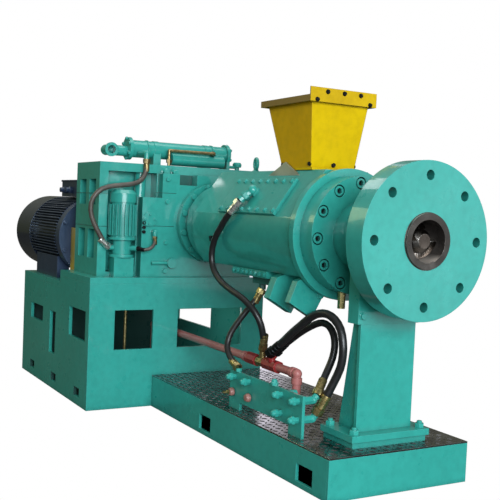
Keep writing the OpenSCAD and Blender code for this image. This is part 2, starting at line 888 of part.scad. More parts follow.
module upper_jacket_cover() {
  cover_x1 = flange_x - cover_setback;
  color(teal) on_slope() {
    block([cover_x1 - cover_len, cover_x1], [cover_margin, cover_margin + cover_w], [0, cover_t]);
    translate([elbow_x, elbow_up, 0]) {
      rod_z([cover_t - cut, elbow_out], elbow_boss_r);
      rod_z([cover_t - cut, cover_t + elbow_nut_h], elbow_nut_r, 6);
      translate([0, 0, elbow_out]) {
        sphere(r = elbow_r, $fn = small_fn);
        hose(elbow_arm, 2 * elbow_arm_r);
      }
    }
  }
}

module lower_jacket_cover() {
  cover_x1 = flange_x - lower_cover_setback;
  color(teal) block([cover_x1 - lower_cover_len, cover_x1], [-lower_cover_half, lower_cover_half],
    [cover_z0, body_z0]);
}

module drain_block() {
  drain_x1 = flange_x - lower_cover_setback - pad_inset;
  color(dark_teal) {
    block([drain_x1 - drain_len, drain_x1], [-drain_half, drain_half], [drain_z0, cover_z0]);
    translate([elbow_x, drain_port_y, 0]) rod_z([drain_z0 - drain_port_h, drain_z0 + cut], drain_port_r, 6);
  }
}

// Leaning lugs under the body, from its underside down
lug_outline = [[-165, 0], [-204, -14], [-236, -96], [-130, -158], [-92, -90], [-60, 0]];

module barrel_lugs() {
  color(teal) for (lug = [[rear_lug_setback, rear_lug_t], [front_lug_setback, front_lug_t]]) {
    translate([flange_x - lug[0] - lug[1], 0, body_z0]) rotate([90, 0, 90]) linear_extrude(lug[1])
      polygon(lug_outline);
  }
}

module barrel_flange() {
  color(teal) on_axis() difference() {
    rod_x([flange_x, ring_x], flange_d / 2);
    rod_x([flange_x - cut, ring_x + cut], bore_r);
  }
}

module front_barrel() {
  color(teal) on_axis() difference() {
    union() {
      rod_x([ring_x, neck_x], ring_d / 2);
      rod_x([neck_x, head_x], neck_d / 2);
      rod_x([head_x, face_x], head_d / 2);
    }
    rod_x([ring_x - cut, face_x + cut], liner_d / 2);
    round_x(head_holes, head_pcd) rod_x([head_x - cut, face_x + cut], head_hole_d / 2, small_fn);
    round_x(ring_screws, ring_pcd, ring_phase) rod_x([neck_x - counterbore_h, neck_x + cut],
      counterbore_d / 2, small_fn);
  }
}

module liner_bush() {
  color(steel) on_axis() difference() {
    union() {
      rod_x([ring_x, face_x], liner_d / 2);
      rod_x([face_x - cut, mouth_x], spigot_d / 2);
    }
    rod_x([ring_x - cut, mouth_x + cut], bore_r);
  }
}

// Screw
flight_room = 5;
root_step = 2;
shank_end = 2;
tip_x = mouth_x - tip_setback;
flight_x0 = barrel_x + flight_room;
flight_x1 = tip_x - tip_len;
root_sides = 16;
slices_per_turn = 16;

module flight_outline() {
  circle(r = root_r, $fn = root_sides);
  polygon([[0, 0], for (i = [-1 : 1]) flight_r * [cos(i * flight_angle / 2), sin(i * flight_angle / 2)]]);
}

module screw() {
  flight_len = flight_x1 - flight_x0;
  turns = flight_len / flight_lead;
  color(steel) on_axis() {
    translate([flight_x0, 0, 0]) rotate([0, 90, 0])
      linear_extrude(height = flight_len, twist = -360 * turns, slices = ceil(turns * slices_per_turn))
        flight_outline();
    translate([flight_x1, 0, 0]) rotate([0, 90, 0]) {
      cylinder(h = tip_len - nose_round, r1 = root_r - root_step, r2 = nose_d / 2, $fn = small_fn);
      translate([0, 0, tip_len - nose_round])
        cylinder(h = nose_round, r1 = nose_d / 2, r2 = nose_d / 2 - nose_round, $fn = small_fn);
    }
  }
}

module screw_shank() {
  color(steel) on_axis() rod_x([shank_end - shank_grip, flight_x0], shank_d / 2);
}

// Hopper
foot_corners = [[hopper_x1, hopper_foot_half], [hopper_x0, hopper_foot_half],
  [hopper_x0, -hopper_foot_half], [hopper_x1, -hopper_foot_half]];
mouth_corners = [[hopper_mouth_x1, hopper_mouth_half], [hopper_mouth_x0, hopper_mouth_half],
  [hopper_mouth_x0, -hopper_mouth_half], [hopper_mouth_x1, -hopper_mouth_half]];
inward = [[-sheet_t, -sheet_t], [sheet_t, -sheet_t], [sheet_t, sheet_t], [-sheet_t, sheet_t]];

function at_z(p, z) = [p[0], p[1], z];

// One mitred wall of the hopper, from corner i to the next
module hopper_wall(i) {
  k = (i + 1) % 4;
  points = [
    at_z(foot_corners[i], hopper_z0), at_z(foot_corners[k], hopper_z0),
    at_z(mouth_corners[k], hopper_z1), at_z(mouth_corners[i], hopper_z1),
    at_z(foot_corners[i] + inward[i], hopper_z0), at_z(foot_corners[k] + inward[k], hopper_z0),
    at_z(mouth_corners[k] + inward[k], hopper_z1), at_z(mouth_corners[i] + inward[i], hopper_z1)
  ];
  polyhedron(points = points, faces = [[0, 1, 2, 3], [7, 6, 5, 4], [1, 0, 4, 5], [3, 2, 6, 7],
    [0, 3, 7, 4], [2, 1, 5, 6]]);
}

module hopper_flange() {
  color(yellow) difference() {
    block([hopper_x0 - hopper_ledge, hopper_x1 + hopper_ledge], [-hopper_foot_half, hopper_foot_half],
      [hopper_z0 - hopper_flange_t, hopper_z0]);
    block([hopper_x0 + throat_margin, hopper_x1 - throat_margin], [-throat_half, throat_half],
      [hopper_z0 - hopper_flange_t - cut, hopper_z0 + cut]);
  }
}

module hopper_front_wall() {
  color(yellow) hopper_wall(3);
}

module hopper_rear_wall() {
  color(yellow) hopper_wall(1);
}

module hopper_left_wall() {
  color(yellow) hopper_wall(2);
}

module hopper_right_wall() {
  color(yellow) hopper_wall(0);
}

module hopper_rim() {
  inner_x = [hopper_mouth_x0 + sheet_t, hopper_mouth_x1 - sheet_t];
  inner_half = hopper_mouth_half - sheet_t;
  outer_x = [inner_x[0] - angle_leg, inner_x[1] + angle_leg];
  outer_half = inner_half + angle_leg;
  rim_z = [hopper_z1, hopper_z1 + sheet_t];
  color(yellow) {
    difference() {
      block(outer_x, [-outer_half, outer_half], [rim_z[1] - angle_leg, rim_z[1]]);
      block(inner_x, [-inner_half, inner_half], [hopper_z1 - cut, rim_z[1] + cut]);
      block(outer_x + [sheet_t, -sheet_t], [sheet_t - outer_half, outer_half - sheet_t],
        [rim_z[1] - angle_leg - cut, hopper_z1]);
    }
    difference() {
      block([outer_x[1] - sheet_t, outer_x[1]], [-outer_half, outer_half], [rim_z[1], rim_z[1] + lip_h]);
      for (y = [-outer_half / 2, 0, outer_half / 2]) {
        translate([0, y, rim_z[1] + lip_h / 2]) rod_x([outer_x[1] - sheet_t - cut, outer_x[1] + cut],
          lip_hole_r, small_fn);
      }
    }
  }
}

// Guard plate on the slope beside the hopper's foot
module throat_shield() {
  shield_y = -hopper_foot_half - shield_gap;
  shield_x0 = hopper_x0 - shield_back;
  block_z = axis_h + block_top;
  color(bare_sheet) difference() {
    translate([shield_x0, shield_y, 0]) rotate([90, 0, 0]) linear_extrude(shield_t)
      polygon([[0, block_z - shield_foot], [shield_len_x, block_z - shield_foot],
        [shield_peak_share * shield_len_x, block_z + shield_peak]]);
    on_slope() block([shield_x0 - cut, shield_x0 + shield_len_x + cut], [0, slope_len], [-shield_back, 0]);
  }
}

// Main motor
module on_motor() {
  translate([0, -motor_y, motor_z]) children();
}

module main_motor() {
  foot_out = frame_d / 2 - fin_root;
  color(motor_blue) {
    on_motor() {
      rod_x([frame_x1, motor_x1], frame_d / 2 + fin_h - shield_step);
      rod_x([frame_x0, frame_x1], frame_d / 2);
      for (i = [0 : fin_count - 1]) {
        rotate([fin_spread * (i / (fin_count - 1) - 0.5) + 90, 0, 0])
          block([frame_x0 + fin_end, frame_x1 - fin_end],
            [frame_d / 2 - shield_step, frame_d / 2 + fin_h], [-fin_t / 2, fin_t / 2]);
      }
    }
    for (y = [-foot_out, foot_out - motor_foot_w]) {
      translate([0, -motor_y, 0]) block([frame_x0 + rear_foot_in, frame_x1 - front_foot_in],
        [y, y + motor_foot_w], [motor_deck_z, motor_deck_z + motor_foot_h]);
    }
  }
}

module fan_cover() {
  color(motor_blue) on_motor() difference() {
    rod_x([fan_x0, frame_x0], fan_cover_d / 2);
    for (r = grille_r) {
      difference() {
        rod_x([fan_x0 - cut, fan_x0 + grille_deep], r + grille_w / 2);
        rod_x([fan_x0 - 2 * cut, fan_x0 + grille_deep + cut], r - grille_w / 2);
      }
    }
  }
}

module terminal_box() {
  box_x1 = frame_x1 - box_setback;
  box_z = motor_z + frame_d / 2 + fin_h;
  color(motor_blue) block([box_x1 - box_len, box_x1], [-motor_y - box_half, -motor_y + box_half],
    [box_z, box_z + box_h]);
}

module coupling_guard() {
  color(yellow) on_motor() intersection() {
    rod_x([motor_x1, -gearbox_len], guard_d / 2);
    block([motor_x1, -gearbox_len], [-guard_d, guard_d], [motor_deck_z - motor_z, guard_d]);
  }
}

// Oil cooler and pump
weld_w = 8;
weld_h = 4;
weld_in = 100;
saddle_in = 130;
drum_out = 35;
drum_drop = 41;
drum_y = [-180, 117];
outlet_in = 53;
outlet_drop = 26;
oil_outlet_r = 13;
oil_x = 14;
oil_gap = 25;
saddle_lap = 14;
elbow_reach = 100;
elbow_pipe_r = 26;
elbow_mouth = 62;
elbow_rim = 12;
elbow_wall = 6;
copper_out = 72;
copper_y = [-205, 49];

module on_cooler() {
  translate([-cooler_back, 0, gearbox_z1 + cooler_up]) children();
}

module oil_cooler() {
  color(teal) on_cooler() {
    rod_y([-cooler_left, cooler_right], cooler_d / 2);
    for (y = [-cooler_left, cooler_right - cooler_end_t]) {
      rod_y([y, y + cooler_end_t], cooler_flange_d / 2);
    }
    for (y = [weld_in - cooler_left, cooler_right - weld_in]) {
      rod_y([y, y + weld_w], cooler_d / 2 + weld_h);
    }
    block([-cooler_d / 2, cooler_d / 2], [cooler_right - cooler_end_t, cooler_right], [-cooler_up, 0]);
    cooler_drum();
    translate([0, outlet_in - cooler_left, -outlet_drop]) {
      rod_x([cooler_d / 4, cooler_back + oil_x], oil_outlet_r, small_fn);
      translate([cooler_back + oil_x, 0, 0]) {
        sphere(r = oil_outlet_r, $fn = small_fn);
        rod_z([outlet_drop - cooler_up + oil_gap, 0], oil_outlet_r);
      }
    }
  }
}

module cooler_drum() {
  translate([drum_out, 0, -drum_drop]) rod_y(drum_y, drum_d / 2);
}

module cooler_saddles() {
  color(teal) for (y = [saddle_in - cooler_left, cooler_right - saddle_in - saddle_w / 2]) {
    difference() {
      block([-cooler_back - saddle_w, -cooler_back + saddle_w], [y, y + saddle_w],
        [gearbox_z1, gearbox_z1 + cooler_up - saddle_lap]);
      on_cooler() rod_y([-cooler_left, cooler_right], cooler_d / 2);
      on_cooler() cooler_drum();
    }
  }
}

module cooler_elbow() {
  color(teal) on_cooler() translate([0, -cooler_left, -saddle_lap]) {
    rod_y([-elbow_reach, 0], elbow_pipe_r);
    translate([0, -elbow_reach, 0]) difference() {
      union() {
        rod_x([-elbow_pipe_r, elbow_mouth], elbow_pipe_r, small_fn);
        rod_x([elbow_mouth - elbow_rim, elbow_mouth], elbow_pipe_r + weld_w, small_fn);
      }
      rod_x([elbow_rim, elbow_mouth + cut], elbow_pipe_r - elbow_wall, small_fn);
    }
  }
}

module cooler_pipe() {
  color(copper) on_cooler() translate([copper_out, 0, 0]) {
    rod_y(copper_y, copper_d / 2);
    for (y = copper_y) {
      translate([0, y, 0]) sphere(r = copper_d / 2, $fn = small_fn);
    }
    translate([0, copper_y[0], 0]) rod_z([-cooler_up, 0], copper_d / 2);
    difference() {
      translate([0, copper_y[1], 0]) rod_x([-copper_out, 0], copper_d / 2, small_fn);
      translate([-copper_out, 0, 0]) rod_y([-cooler_left, cooler_right], cooler_d / 2);
    }
  }
}

module pump_motor() {
  r = pump_motor_d / 2;
  color(teal) translate([pump_x, pump_y, pump_motor_z]) {
    rod_z([0, pump_flange_t], r - shield_step);
    rod_z([pump_flange_t, pump_motor_h], r - 2 * pump_fin_t);
    for (i = [0 : pump_fin_count - 1]) {
      rotate(360 / pump_fin_count * (i + 0.5))
        block([r - pump_fin_h, r], [-pump_fin_t / 2, pump_fin_t / 2],
          [pump_flange_t + pump_fin_end, pump_motor_h - pump_fin_end]);
    }
    rod_z([pump_motor_h, pump_motor_h + pump_cap_h], r - pump_fin_t);
    translate([0, 0, pump_motor_h + pump_cap_h])
      cylinder(h = pump_dome_h, r1 = r - pump_fin_t, r2 = r - pump_fin_t - pump_dome_h, $fn = small_fn);
  }
}

module oil_pump() {
  bracket_z1 = pump_z0 - pump_foot_t;
  color(teal) translate([pump_x, pump_y, 0]) {
    rod_z([pump_z0, pump_motor_z], pump_body_r);
    rod_z([bracket_z1, pump_z0], pump_foot_r);
    block([-pump_x, bracket_x], [-bracket_half, bracket_half], [base_h, bracket_z1]);
    block([-bracket_x, bracket_x], [-bracket_half, bracket_half], [base_h + sill_h, bracket_z1]);
    translate([0, 0, port_z]) {
      rod_y([-port_len, 0], port_r);
      rotate(-suction_port_turn) rod_y([0, suction_port_len], port_r);
    }
  }
}

// Water service
module manifold_panel() {
  color(teal) {
    block([panel_x0, panel_x1], [-panel_y, -panel_y + panel_t], [plinth_h + panel_gap, panel_z1]);
    for (x = [panel_x0, panel_x1 - panel_leg_w]) {
      block([x, x + panel_leg_w], [-panel_y, -panel_y + panel_t], [plinth_h, plinth_h + panel_gap]);
    }
  }
}

module manifold_fittings() {
  color(teal) for (i = [0, 1], k = [0, 1]) {
    translate([nipple_x - i * nipple_pitch_x, -panel_y, nipple_z - k * nipple_pitch_z]) {
      rod_y([-front_stub, 0], front_stub_r, 6);
      translate([0, panel_t, 0]) {
        rod_y([0, nipple_len], nipple_r, 6);
        if (i == 0) {
          translate([0, nipple_len, 0]) sphere(r = nipple_r, $fn = small_fn);
          hose([[0, nipple_len, 0], [0, nipple_len + nipple_r, nipple_r - cut]], nipple_stub_d);
        }
      }
    }
  }
  color(teal) for (x = stub_in) {
    translate([panel_x1 - x, -panel_y, nipple_z]) rod_y([-front_stub, 0], front_stub_r, 6);
  }
  color(teal) translate([panel_x1 - top_nipple_in, panel_t / 2 - panel_y, panel_z1])
    rod_z([0, top_nipple_h], top_nipple_r, 6);
}

module water_pipe() {
  color(pipe_red) translate([0, -pipe_y, 0]) {
    translate([0, 0, pipe_z]) rod_x([pipe_x0, pipe_x1], pipe_d / 2, small_fn);
    translate([pipe_x1, 0, 0]) rod_z([plinth_h, pipe_z], pipe_d / 2);
    translate([pipe_x0, 0, 0]) rod_z([wall_t, pipe_z], pipe_d / 2);
    for (x = [pipe_x0, pipe_x1]) {
      translate([x, 0, pipe_z]) sphere(r = pipe_d / 2 + elbow_swell, $fn = small_fn);
    }
  }
}

module pipe_valves() {
  color(pipe_red) translate([0, -pipe_y, pipe_z]) difference() {
    union() {
      rod_x([rear_valve_x1 - rear_valve_len, rear_valve_x1], valve_r, 8);
      rod_x([tee_x[1], tee_x[1] + front_valve_len], valve_r, 8);
      translate([outer_outlet_x, 0, 0]) rotate([outer_outlet_lean, 0, 0]) rod_z([0, outlet_len], outlet_r);
      translate([inner_outlet_x, 0, 0]) rotate([-inner_outlet_lean, 0, 0]) rod_z([0, outlet_len], outlet_r);
    }
    rod_x([pipe_x0, pipe_x1], pipe_d / 2, small_fn);
  }
}

module jacket_fittings() {
  color(brass) {
    translate([0, -pipe_y, pipe_z]) difference() {
      union() {
        rod_x(tee_x, valve_r - tee_step, 8);
        translate([(tee_x[0] + tee_x[1]) / 2, 0, 0]) rod_z([0, tee_h], outlet_r);
      }
      rod_x([pipe_x0, pipe_x1], pipe_d / 2, small_fn);
    }
    difference() {
      translate([ring_x + ring_t / 2, -ring_port_y, 0])
        rod_z([axis_h - ring_port_drop, axis_h - ring_d / 2 + ring_port_y], ring_port_r, 6);
      on_axis() rod_x([ring_x - cut, neck_x + cut], ring_d / 2);
    }
  }
}

// Hoses
module upper_jacket_hose() {
  color(hose_black) hose(with_axis(upper_hose_route), upper_hose_d);
}

module lower_jacket_hose() {
  color(hose_black) hose(with_axis(lower_hose_route), lower_hose_d);
}

module outer_loop_hose() {
  color(hose_black) hose(with_axis(outer_loop_route), outer_loop_d);
}

module inner_loop_hose() {
  color(hose_black) hose(with_axis(inner_loop_route), inner_loop_d);
}

module oil_hose() {
  color(steel) translate([0, 0, hose_rise]) hose(oil_hose_route, oil_hose_d);
}

module suction_hose() {
  color(steel) translate([0, 0, hose_rise]) hose(suction_hose_route, suction_hose_d);
}

base_front_wall();
base_left_wall();
base_right_wall();
base_rear_wall();
base_floor();
gearbox_deck();
motor_deck();
deck_riser();
plinth_left_rail();
plinth_right_rail();
plinth_front_rail();
tread_plate();
pedestal_pad();
pedestal_foot();
pedestal_post();
pedestal_saddle();
gearbox_housing();
bearing_plate();
barrel_seat();
feed_barrel();
upper_jacket_cover();
lower_jacket_cover();
drain_block();
barrel_lugs();
barrel_flange();
front_barrel();
liner_bush();
screw();
screw_shank();
hopper_flange();
hopper_front_wall();
hopper_rear_wall();
hopper_left_wall();
hopper_right_wall();
hopper_rim();
throat_shield();
main_motor();
fan_cover();
terminal_box();
coupling_guard();
oil_cooler();
cooler_saddles();
cooler_elbow();
cooler_pipe();
pump_motor();
oil_pump();
manifold_panel();
manifold_fittings();
water_pipe();
pipe_valves();
jacket_fittings();
upper_jacket_hose();
lower_jacket_hose();
outer_loop_hose();
inner_loop_hose();
oil_hose();
suction_hose();
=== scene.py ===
"""Looks of the rubber extruder: paint, steel, rubber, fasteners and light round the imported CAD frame."""

import math

import bpy
from mathutils import Matrix, Quaternion, Vector


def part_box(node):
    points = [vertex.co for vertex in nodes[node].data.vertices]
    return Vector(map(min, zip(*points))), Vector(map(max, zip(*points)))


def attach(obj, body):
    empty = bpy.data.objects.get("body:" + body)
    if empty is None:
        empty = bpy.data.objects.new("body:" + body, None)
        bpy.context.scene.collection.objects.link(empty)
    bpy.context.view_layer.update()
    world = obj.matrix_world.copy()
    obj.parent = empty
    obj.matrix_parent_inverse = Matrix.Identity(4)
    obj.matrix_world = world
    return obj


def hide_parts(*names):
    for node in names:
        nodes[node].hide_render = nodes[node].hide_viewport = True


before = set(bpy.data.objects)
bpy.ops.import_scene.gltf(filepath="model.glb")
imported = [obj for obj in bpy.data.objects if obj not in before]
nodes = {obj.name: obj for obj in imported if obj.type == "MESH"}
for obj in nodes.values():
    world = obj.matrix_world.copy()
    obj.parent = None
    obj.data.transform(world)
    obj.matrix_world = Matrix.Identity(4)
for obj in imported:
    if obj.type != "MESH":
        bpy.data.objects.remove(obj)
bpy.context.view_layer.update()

# Camera and stage, in metres and degrees
CAMERA_AT = (3.967, -2.014, 0.992)
VIEW_YAW = 29.82
VIEW_PITCH = -2.83
VIEW_ROLL = 2.49
LENS_MM = 62.5

# Places of the frame that the pieces share, in metres
AXIS_Z = 0.9
SEAT_FACE_X = 0.095
RING_FACE_X = 1.304
GEARBOX_TOP = 1.18
BEARING_PLATE_X = 0.060
MOTOR_Y, MOTOR_Z = -0.43, 0.797
COOLER_X, COOLER_Z = -0.12, 1.258
WATER_PIPE_Y, WATER_PIPE_Z = -0.165, 0.350

UP = Vector((0, 0, 1))
FRONT = Vector((1, 0, 0))
LEFT = Vector((0, -1, 0))


# Material graphs
class Graph:
    """A material's node tree, with short calls for the nodes that the finishes share."""

    def __init__(self, name):
        self.material = bpy.data.materials.new(name)
        self.material.use_nodes = True
        self.tree = self.material.node_tree
        self.tree.nodes.clear()
        self.shader = self.add("ShaderNodeBsdfPrincipled")
        output = self.add("ShaderNodeOutputMaterial")
        self.link(self.shader.outputs[0], output.inputs[0])
        self.place = self.add("ShaderNodeTexCoord").outputs["Object"]

    def add(self, kind, **values):
        node = self.tree.nodes.new(kind)
        for key, value in values.items():
            setattr(node, key, value)
        return node

    def link(self, source, target):
        self.tree.links.new(source, target)

    def set(self, **values):
        for key, value in values.items():
            self.shader.inputs[key.replace("_", " ")].default_value = value

    def noise(self, scale, detail=2.0, stretch=None):
        node = self.add("ShaderNodeTexNoise")
        node.inputs["Scale"].default_value = scale
        node.inputs["Detail"].default_value = detail
        self.link(self.stretched(stretch), node.inputs["Vector"])
        return node.outputs["Fac"]

    def stretched(self, stretch):
        if stretch is None:
            return self.place
        node = self.add("ShaderNodeMapping")
        node.inputs["Scale"].default_value = stretch
        self.link(self.place, node.inputs["Vector"])
        return node.outputs["Vector"]

    def span(self, value, low, high, start, end):
        """Maps value from low..high to start..end, held at the ends."""
        node = self.add("ShaderNodeMapRange")
        self.link(value, node.inputs["Value"])
        for name, number in (("From Min", low), ("From Max", high), ("To Min", start), ("To Max", end)):
            node.inputs[name].default_value = number
        return node.outputs["Result"]

    def mix(self, factor, first, second):
        """Blends two colours, each a tuple or a socket."""
        node = self.add("ShaderNodeMix", data_type="RGBA")
        self.link(factor, node.inputs["Factor"])
        for socket, colour in ((node.inputs[6], first), (node.inputs[7], second)):
            if isinstance(colour, tuple):
                socket.default_value = (*colour, 1)
            else:
                self.link(colour, socket)
        return node.outputs[2]

    def math(self, operation, first, second):
        node = self.add("ShaderNodeMath", operation=operation)
        for socket, value in zip(node.inputs, (first, second)):
            if isinstance(value, (int, float)):
                socket.default_value = value
            else:
                self.link(value, socket)
        return node.outputs[0]

    def round_edges(self, radius):
        """A normal that rolls over sharp edges, as paint and deburring leave them."""
        node = self.add("ShaderNodeBevel", samples=4)
        node.inputs["Radius"].default_value = radius
        return node.outputs["Normal"]

    def edge_mask(self, normal):
        """Near 1 along sharp edges, 0 on open faces."""
        node = self.add("ShaderNodeVectorMath", operation="DOT_PRODUCT")
        self.link(normal, node.inputs[0])
        self.link(self.add("ShaderNodeNewGeometry").outputs["True Normal"], node.inputs[1])
        return self.span(node.outputs["Value"], 0.985, 0.82, 0.0, 1.0)

    def toward(self, direction):
        """Near 1 on faces that look along a direction, 0 on the others."""
        node = self.add("ShaderNodeVectorMath", operation="DOT_PRODUCT")
        node.inputs[1].default_value = direction
        self.link(self.add("ShaderNodeNewGeometry").outputs["True Normal"], node.inputs[0])
        return self.span(node.outputs["Value"], 0.6, 0.9, 0.0, 1.0)

    def crevice(self, reach):
        """Near 1 in inner corners, 0 in the open."""
        node = self.add("ShaderNodeAmbientOcclusion", samples=4)
        node.inputs["Distance"].default_value = reach
        return self.span(node.outputs["AO"], 0.75, 0.25, 0.0, 1.0)

    def bump(self, height, strength, distance, normal=None):
        node = self.add("ShaderNodeBump")
        node.inputs["Strength"].default_value = strength
        node.inputs["Distance"].default_value = distance
        self.link(height, node.inputs["Height"])
        if normal is not None:
            self.link(normal, node.inputs["Normal"])
        return node.outputs["Normal"]

    def colour(self, socket):
        self.link(socket, self.shader.inputs["Base Color"])

    def roughness(self, socket):
        self.link(socket, self.shader.inputs["Roughness"])

    def normal(self, socket):
        self.link(socket, self.shader.inputs["Normal"])


# Colour of painted shade inside the hollow base.
PAINTED_SHADE_INSIDE = (0.026, 0.075, 0.067)


def paint(name, colour, shade, worn, gloss, grain, coat, shine=0.5, side=None, side_colour=PAINTED_SHADE_INSIDE, below=None):
    """Sprayed machine enamel: uneven coats, painted shade in inner corners, pale edges that are part wear and part
    painted highlight, an orange-peel skin. Faces toward side take a colour of painted shade, for the shade within a
    hollow base.
    Where a height is given, they have it under that height only."""
    g = Graph(name)
    edge_normal = g.round_edges(0.003)
    coats = g.mix(g.span(g.noise(2.6, 5), 0.35, 0.7, 0.0, 1.0), shade, colour)
    runs = g.mix(g.span(g.noise(9, 4, (1, 1, 0.25)), 0.58, 0.8, 0.0, 0.35), coats, shade)
    mottled = g.mix(g.span(g.noise(34, 6), 0.4, 0.75, 0.0, 0.4), runs, tuple(c * 0.72 for c in shade))
    # Painted shade: darker in inner corners and recesses.
    corner_shaded = g.mix(g.math("MULTIPLY", g.crevice(0.05), 0.6), mottled, tuple(c * 0.25 for c in shade))
    # Pale edges: part wear, part painted highlight.
    worn_and_highlit_edges = g.math("MULTIPLY", g.edge_mask(edge_normal), g.span(g.noise(40, 3), 0.4, 0.6, 0.25, 0.8))
    body = g.mix(worn_and_highlit_edges, corner_shaded, worn)
    # Painted shade: faces toward side take the shade colour, and where a height is given, only under it.
    if side:
        shade_mask = g.toward(side)
        if below:
            place = g.add("ShaderNodeSeparateXYZ")
            g.link(g.place, place.inputs[0])
            shade_mask = g.math("MULTIPLY", shade_mask, g.span(place.outputs["Z"], below, below + 0.01, 1.0, 0.0))
        body = g.mix(shade_mask, body, side_colour)
    g.colour(body)
    g.roughness(g.span(g.noise(14, 4), 0.3, 0.75, gloss - 0.05, gloss + 0.12))
    peel = g.math("ADD", g.noise(grain, 2), g.math("MULTIPLY", g.noise(6, 2), 3.0))
    g.normal(g.bump(peel, 0.12, 0.0008, edge_normal))
    g.set(Coat_Weight=coat, Coat_Roughness=0.06, Specular_IOR_Level=shine)
    return g.material


def steel(name, bright, dark, gloss, turned=None, grain=220, end=None, worn=None, metal=1.0):
    """Machined steel: fine tool marks, stains, and a painted highlight along sharp edges. turned is the stretch of
    the tool marks.
    Faces toward the front have the colour end where it is given, as painted shade,
    and faces that look up have the given pale colour, part wear and part painted highlight."""
    g = Graph(name)
    edge_normal = g.round_edges(0.0015)
    stain = g.span(g.noise(11, 5), 0.38, 0.68, 0.0, 1.0)
    body = g.mix(stain, dark, bright)
    # Painted shade: faces toward the front take the darker colour end.
    if end:
        body = g.mix(g.toward((1, 0, 0)), body, g.mix(stain, end, tuple(c * 2 for c in end)))
    # Faces that look up are pale: part wear, part painted highlight.
    if worn:
        body = g.mix(g.toward((0, 0, 1)), body, g.mix(stain, worn, tuple(c * 0.6 for c in worn)))
    # Painted highlight: sharp edges take a brighter copy of the bright colour.
    g.colour(g.mix(g.edge_mask(edge_normal), body, tuple(min(1, c * 1.6) for c in bright)))
    g.roughness(g.span(g.noise(30, 4), 0.3, 0.7, gloss - 0.08, gloss + 0.14))
    g.normal(g.bump(g.noise(grain, 3, turned), 0.25, 0.0004, edge_normal))
    g.set(Metallic=metal, Specular_IOR_Level=0.5)
    return g.material


def plated(name, bright, dull, gloss):
    """Plated or cast small metal, as on nuts, ferrules and valves."""
    g = Graph(name)
    g.colour(g.mix(g.span(g.noise(90, 4), 0.35, 0.65, 0.0, 1.0), dull, bright))
    g.roughness(g.span(g.noise(150, 2), 0.3, 0.7, gloss - 0.06, gloss + 0.1))
    g.normal(g.bump(g.noise(600, 2), 0.15, 0.0002))
    g.set(Metallic=0.9, Specular_IOR_Level=0.5)
    return g.material


def rubber(name, colour, dust, gloss):
    """Black hose cover: fine wrap marks of the curing tape, and dust along the top."""
    g = Graph(name)
    facing = g.add("ShaderNodeSeparateXYZ")
    g.link(g.add("ShaderNodeNewGeometry").outputs["Normal"], facing.inputs[0])
    lies = g.math("MULTIPLY", g.span(facing.outputs["Z"], 0.2, 1.0, 0.0, 0.6), g.noise(35, 4))
    g.colour(g.mix(lies, colour, dust))
    g.roughness(g.span(g.noise(60, 3), 0.3, 0.7, gloss - 0.08, gloss + 0.1))
    g.normal(g.bump(g.noise(900, 2), 0.3, 0.0003))
    g.set(Specular_IOR_Level=0.5)
    return g.material


def braid(name, light, dark):
    """Woven wire cover of an oil hose: two crossing sets of fine strands."""
    g = Graph(name)
    strands = []
    for turn in (35.0, -35.0):
        node = g.add("ShaderNodeMapping")
        node.inputs["Rotation"].default_value = (math.radians(turn), math.radians(turn), 0)
        g.link(g.place, node.inputs["Vector"])
        wave = g.add("ShaderNodeTexWave", bands_direction="Z")
        wave.inputs["Scale"].default_value = 90
        wave.inputs["Distortion"].default_value = 1.5
        g.link(node.outputs["Vector"], wave.inputs["Vector"])
        strands.append(wave.outputs["Fac"])
    weave = g.math("MAXIMUM", strands[0], strands[1])
    tone = g.math("MULTIPLY", weave, g.span(g.noise(20, 3), 0.3, 0.7, 0.6, 1.0))
    g.colour(g.mix(tone, dark, light))
    g.roughness(g.span(weave, 0.0, 1.0, 0.6, 0.4))
    g.normal(g.bump(weave, 0.5, 0.0006))
    g.set(Metallic=0.35, Specular_IOR_Level=0.5)
    return g.material


TEAL = (0.038, 0.395, 0.338)
TEAL_SHADE = (0.031, 0.350, 0.295)
# Pale teal for edges: part wear, part painted highlight.
TEAL_EDGE_WEAR_AND_HIGHLIGHT = (0.10, 0.54, 0.48)


def teal(name, side=None, **more):
    """The machine's teal enamel on plate, with painted shade on faces toward side where it is given."""
    return paint(name, TEAL, TEAL_SHADE, TEAL_EDGE_WEAR_AND_HIGHLIGHT, 0.30, 240, 0.5, 0.3, side, **more)


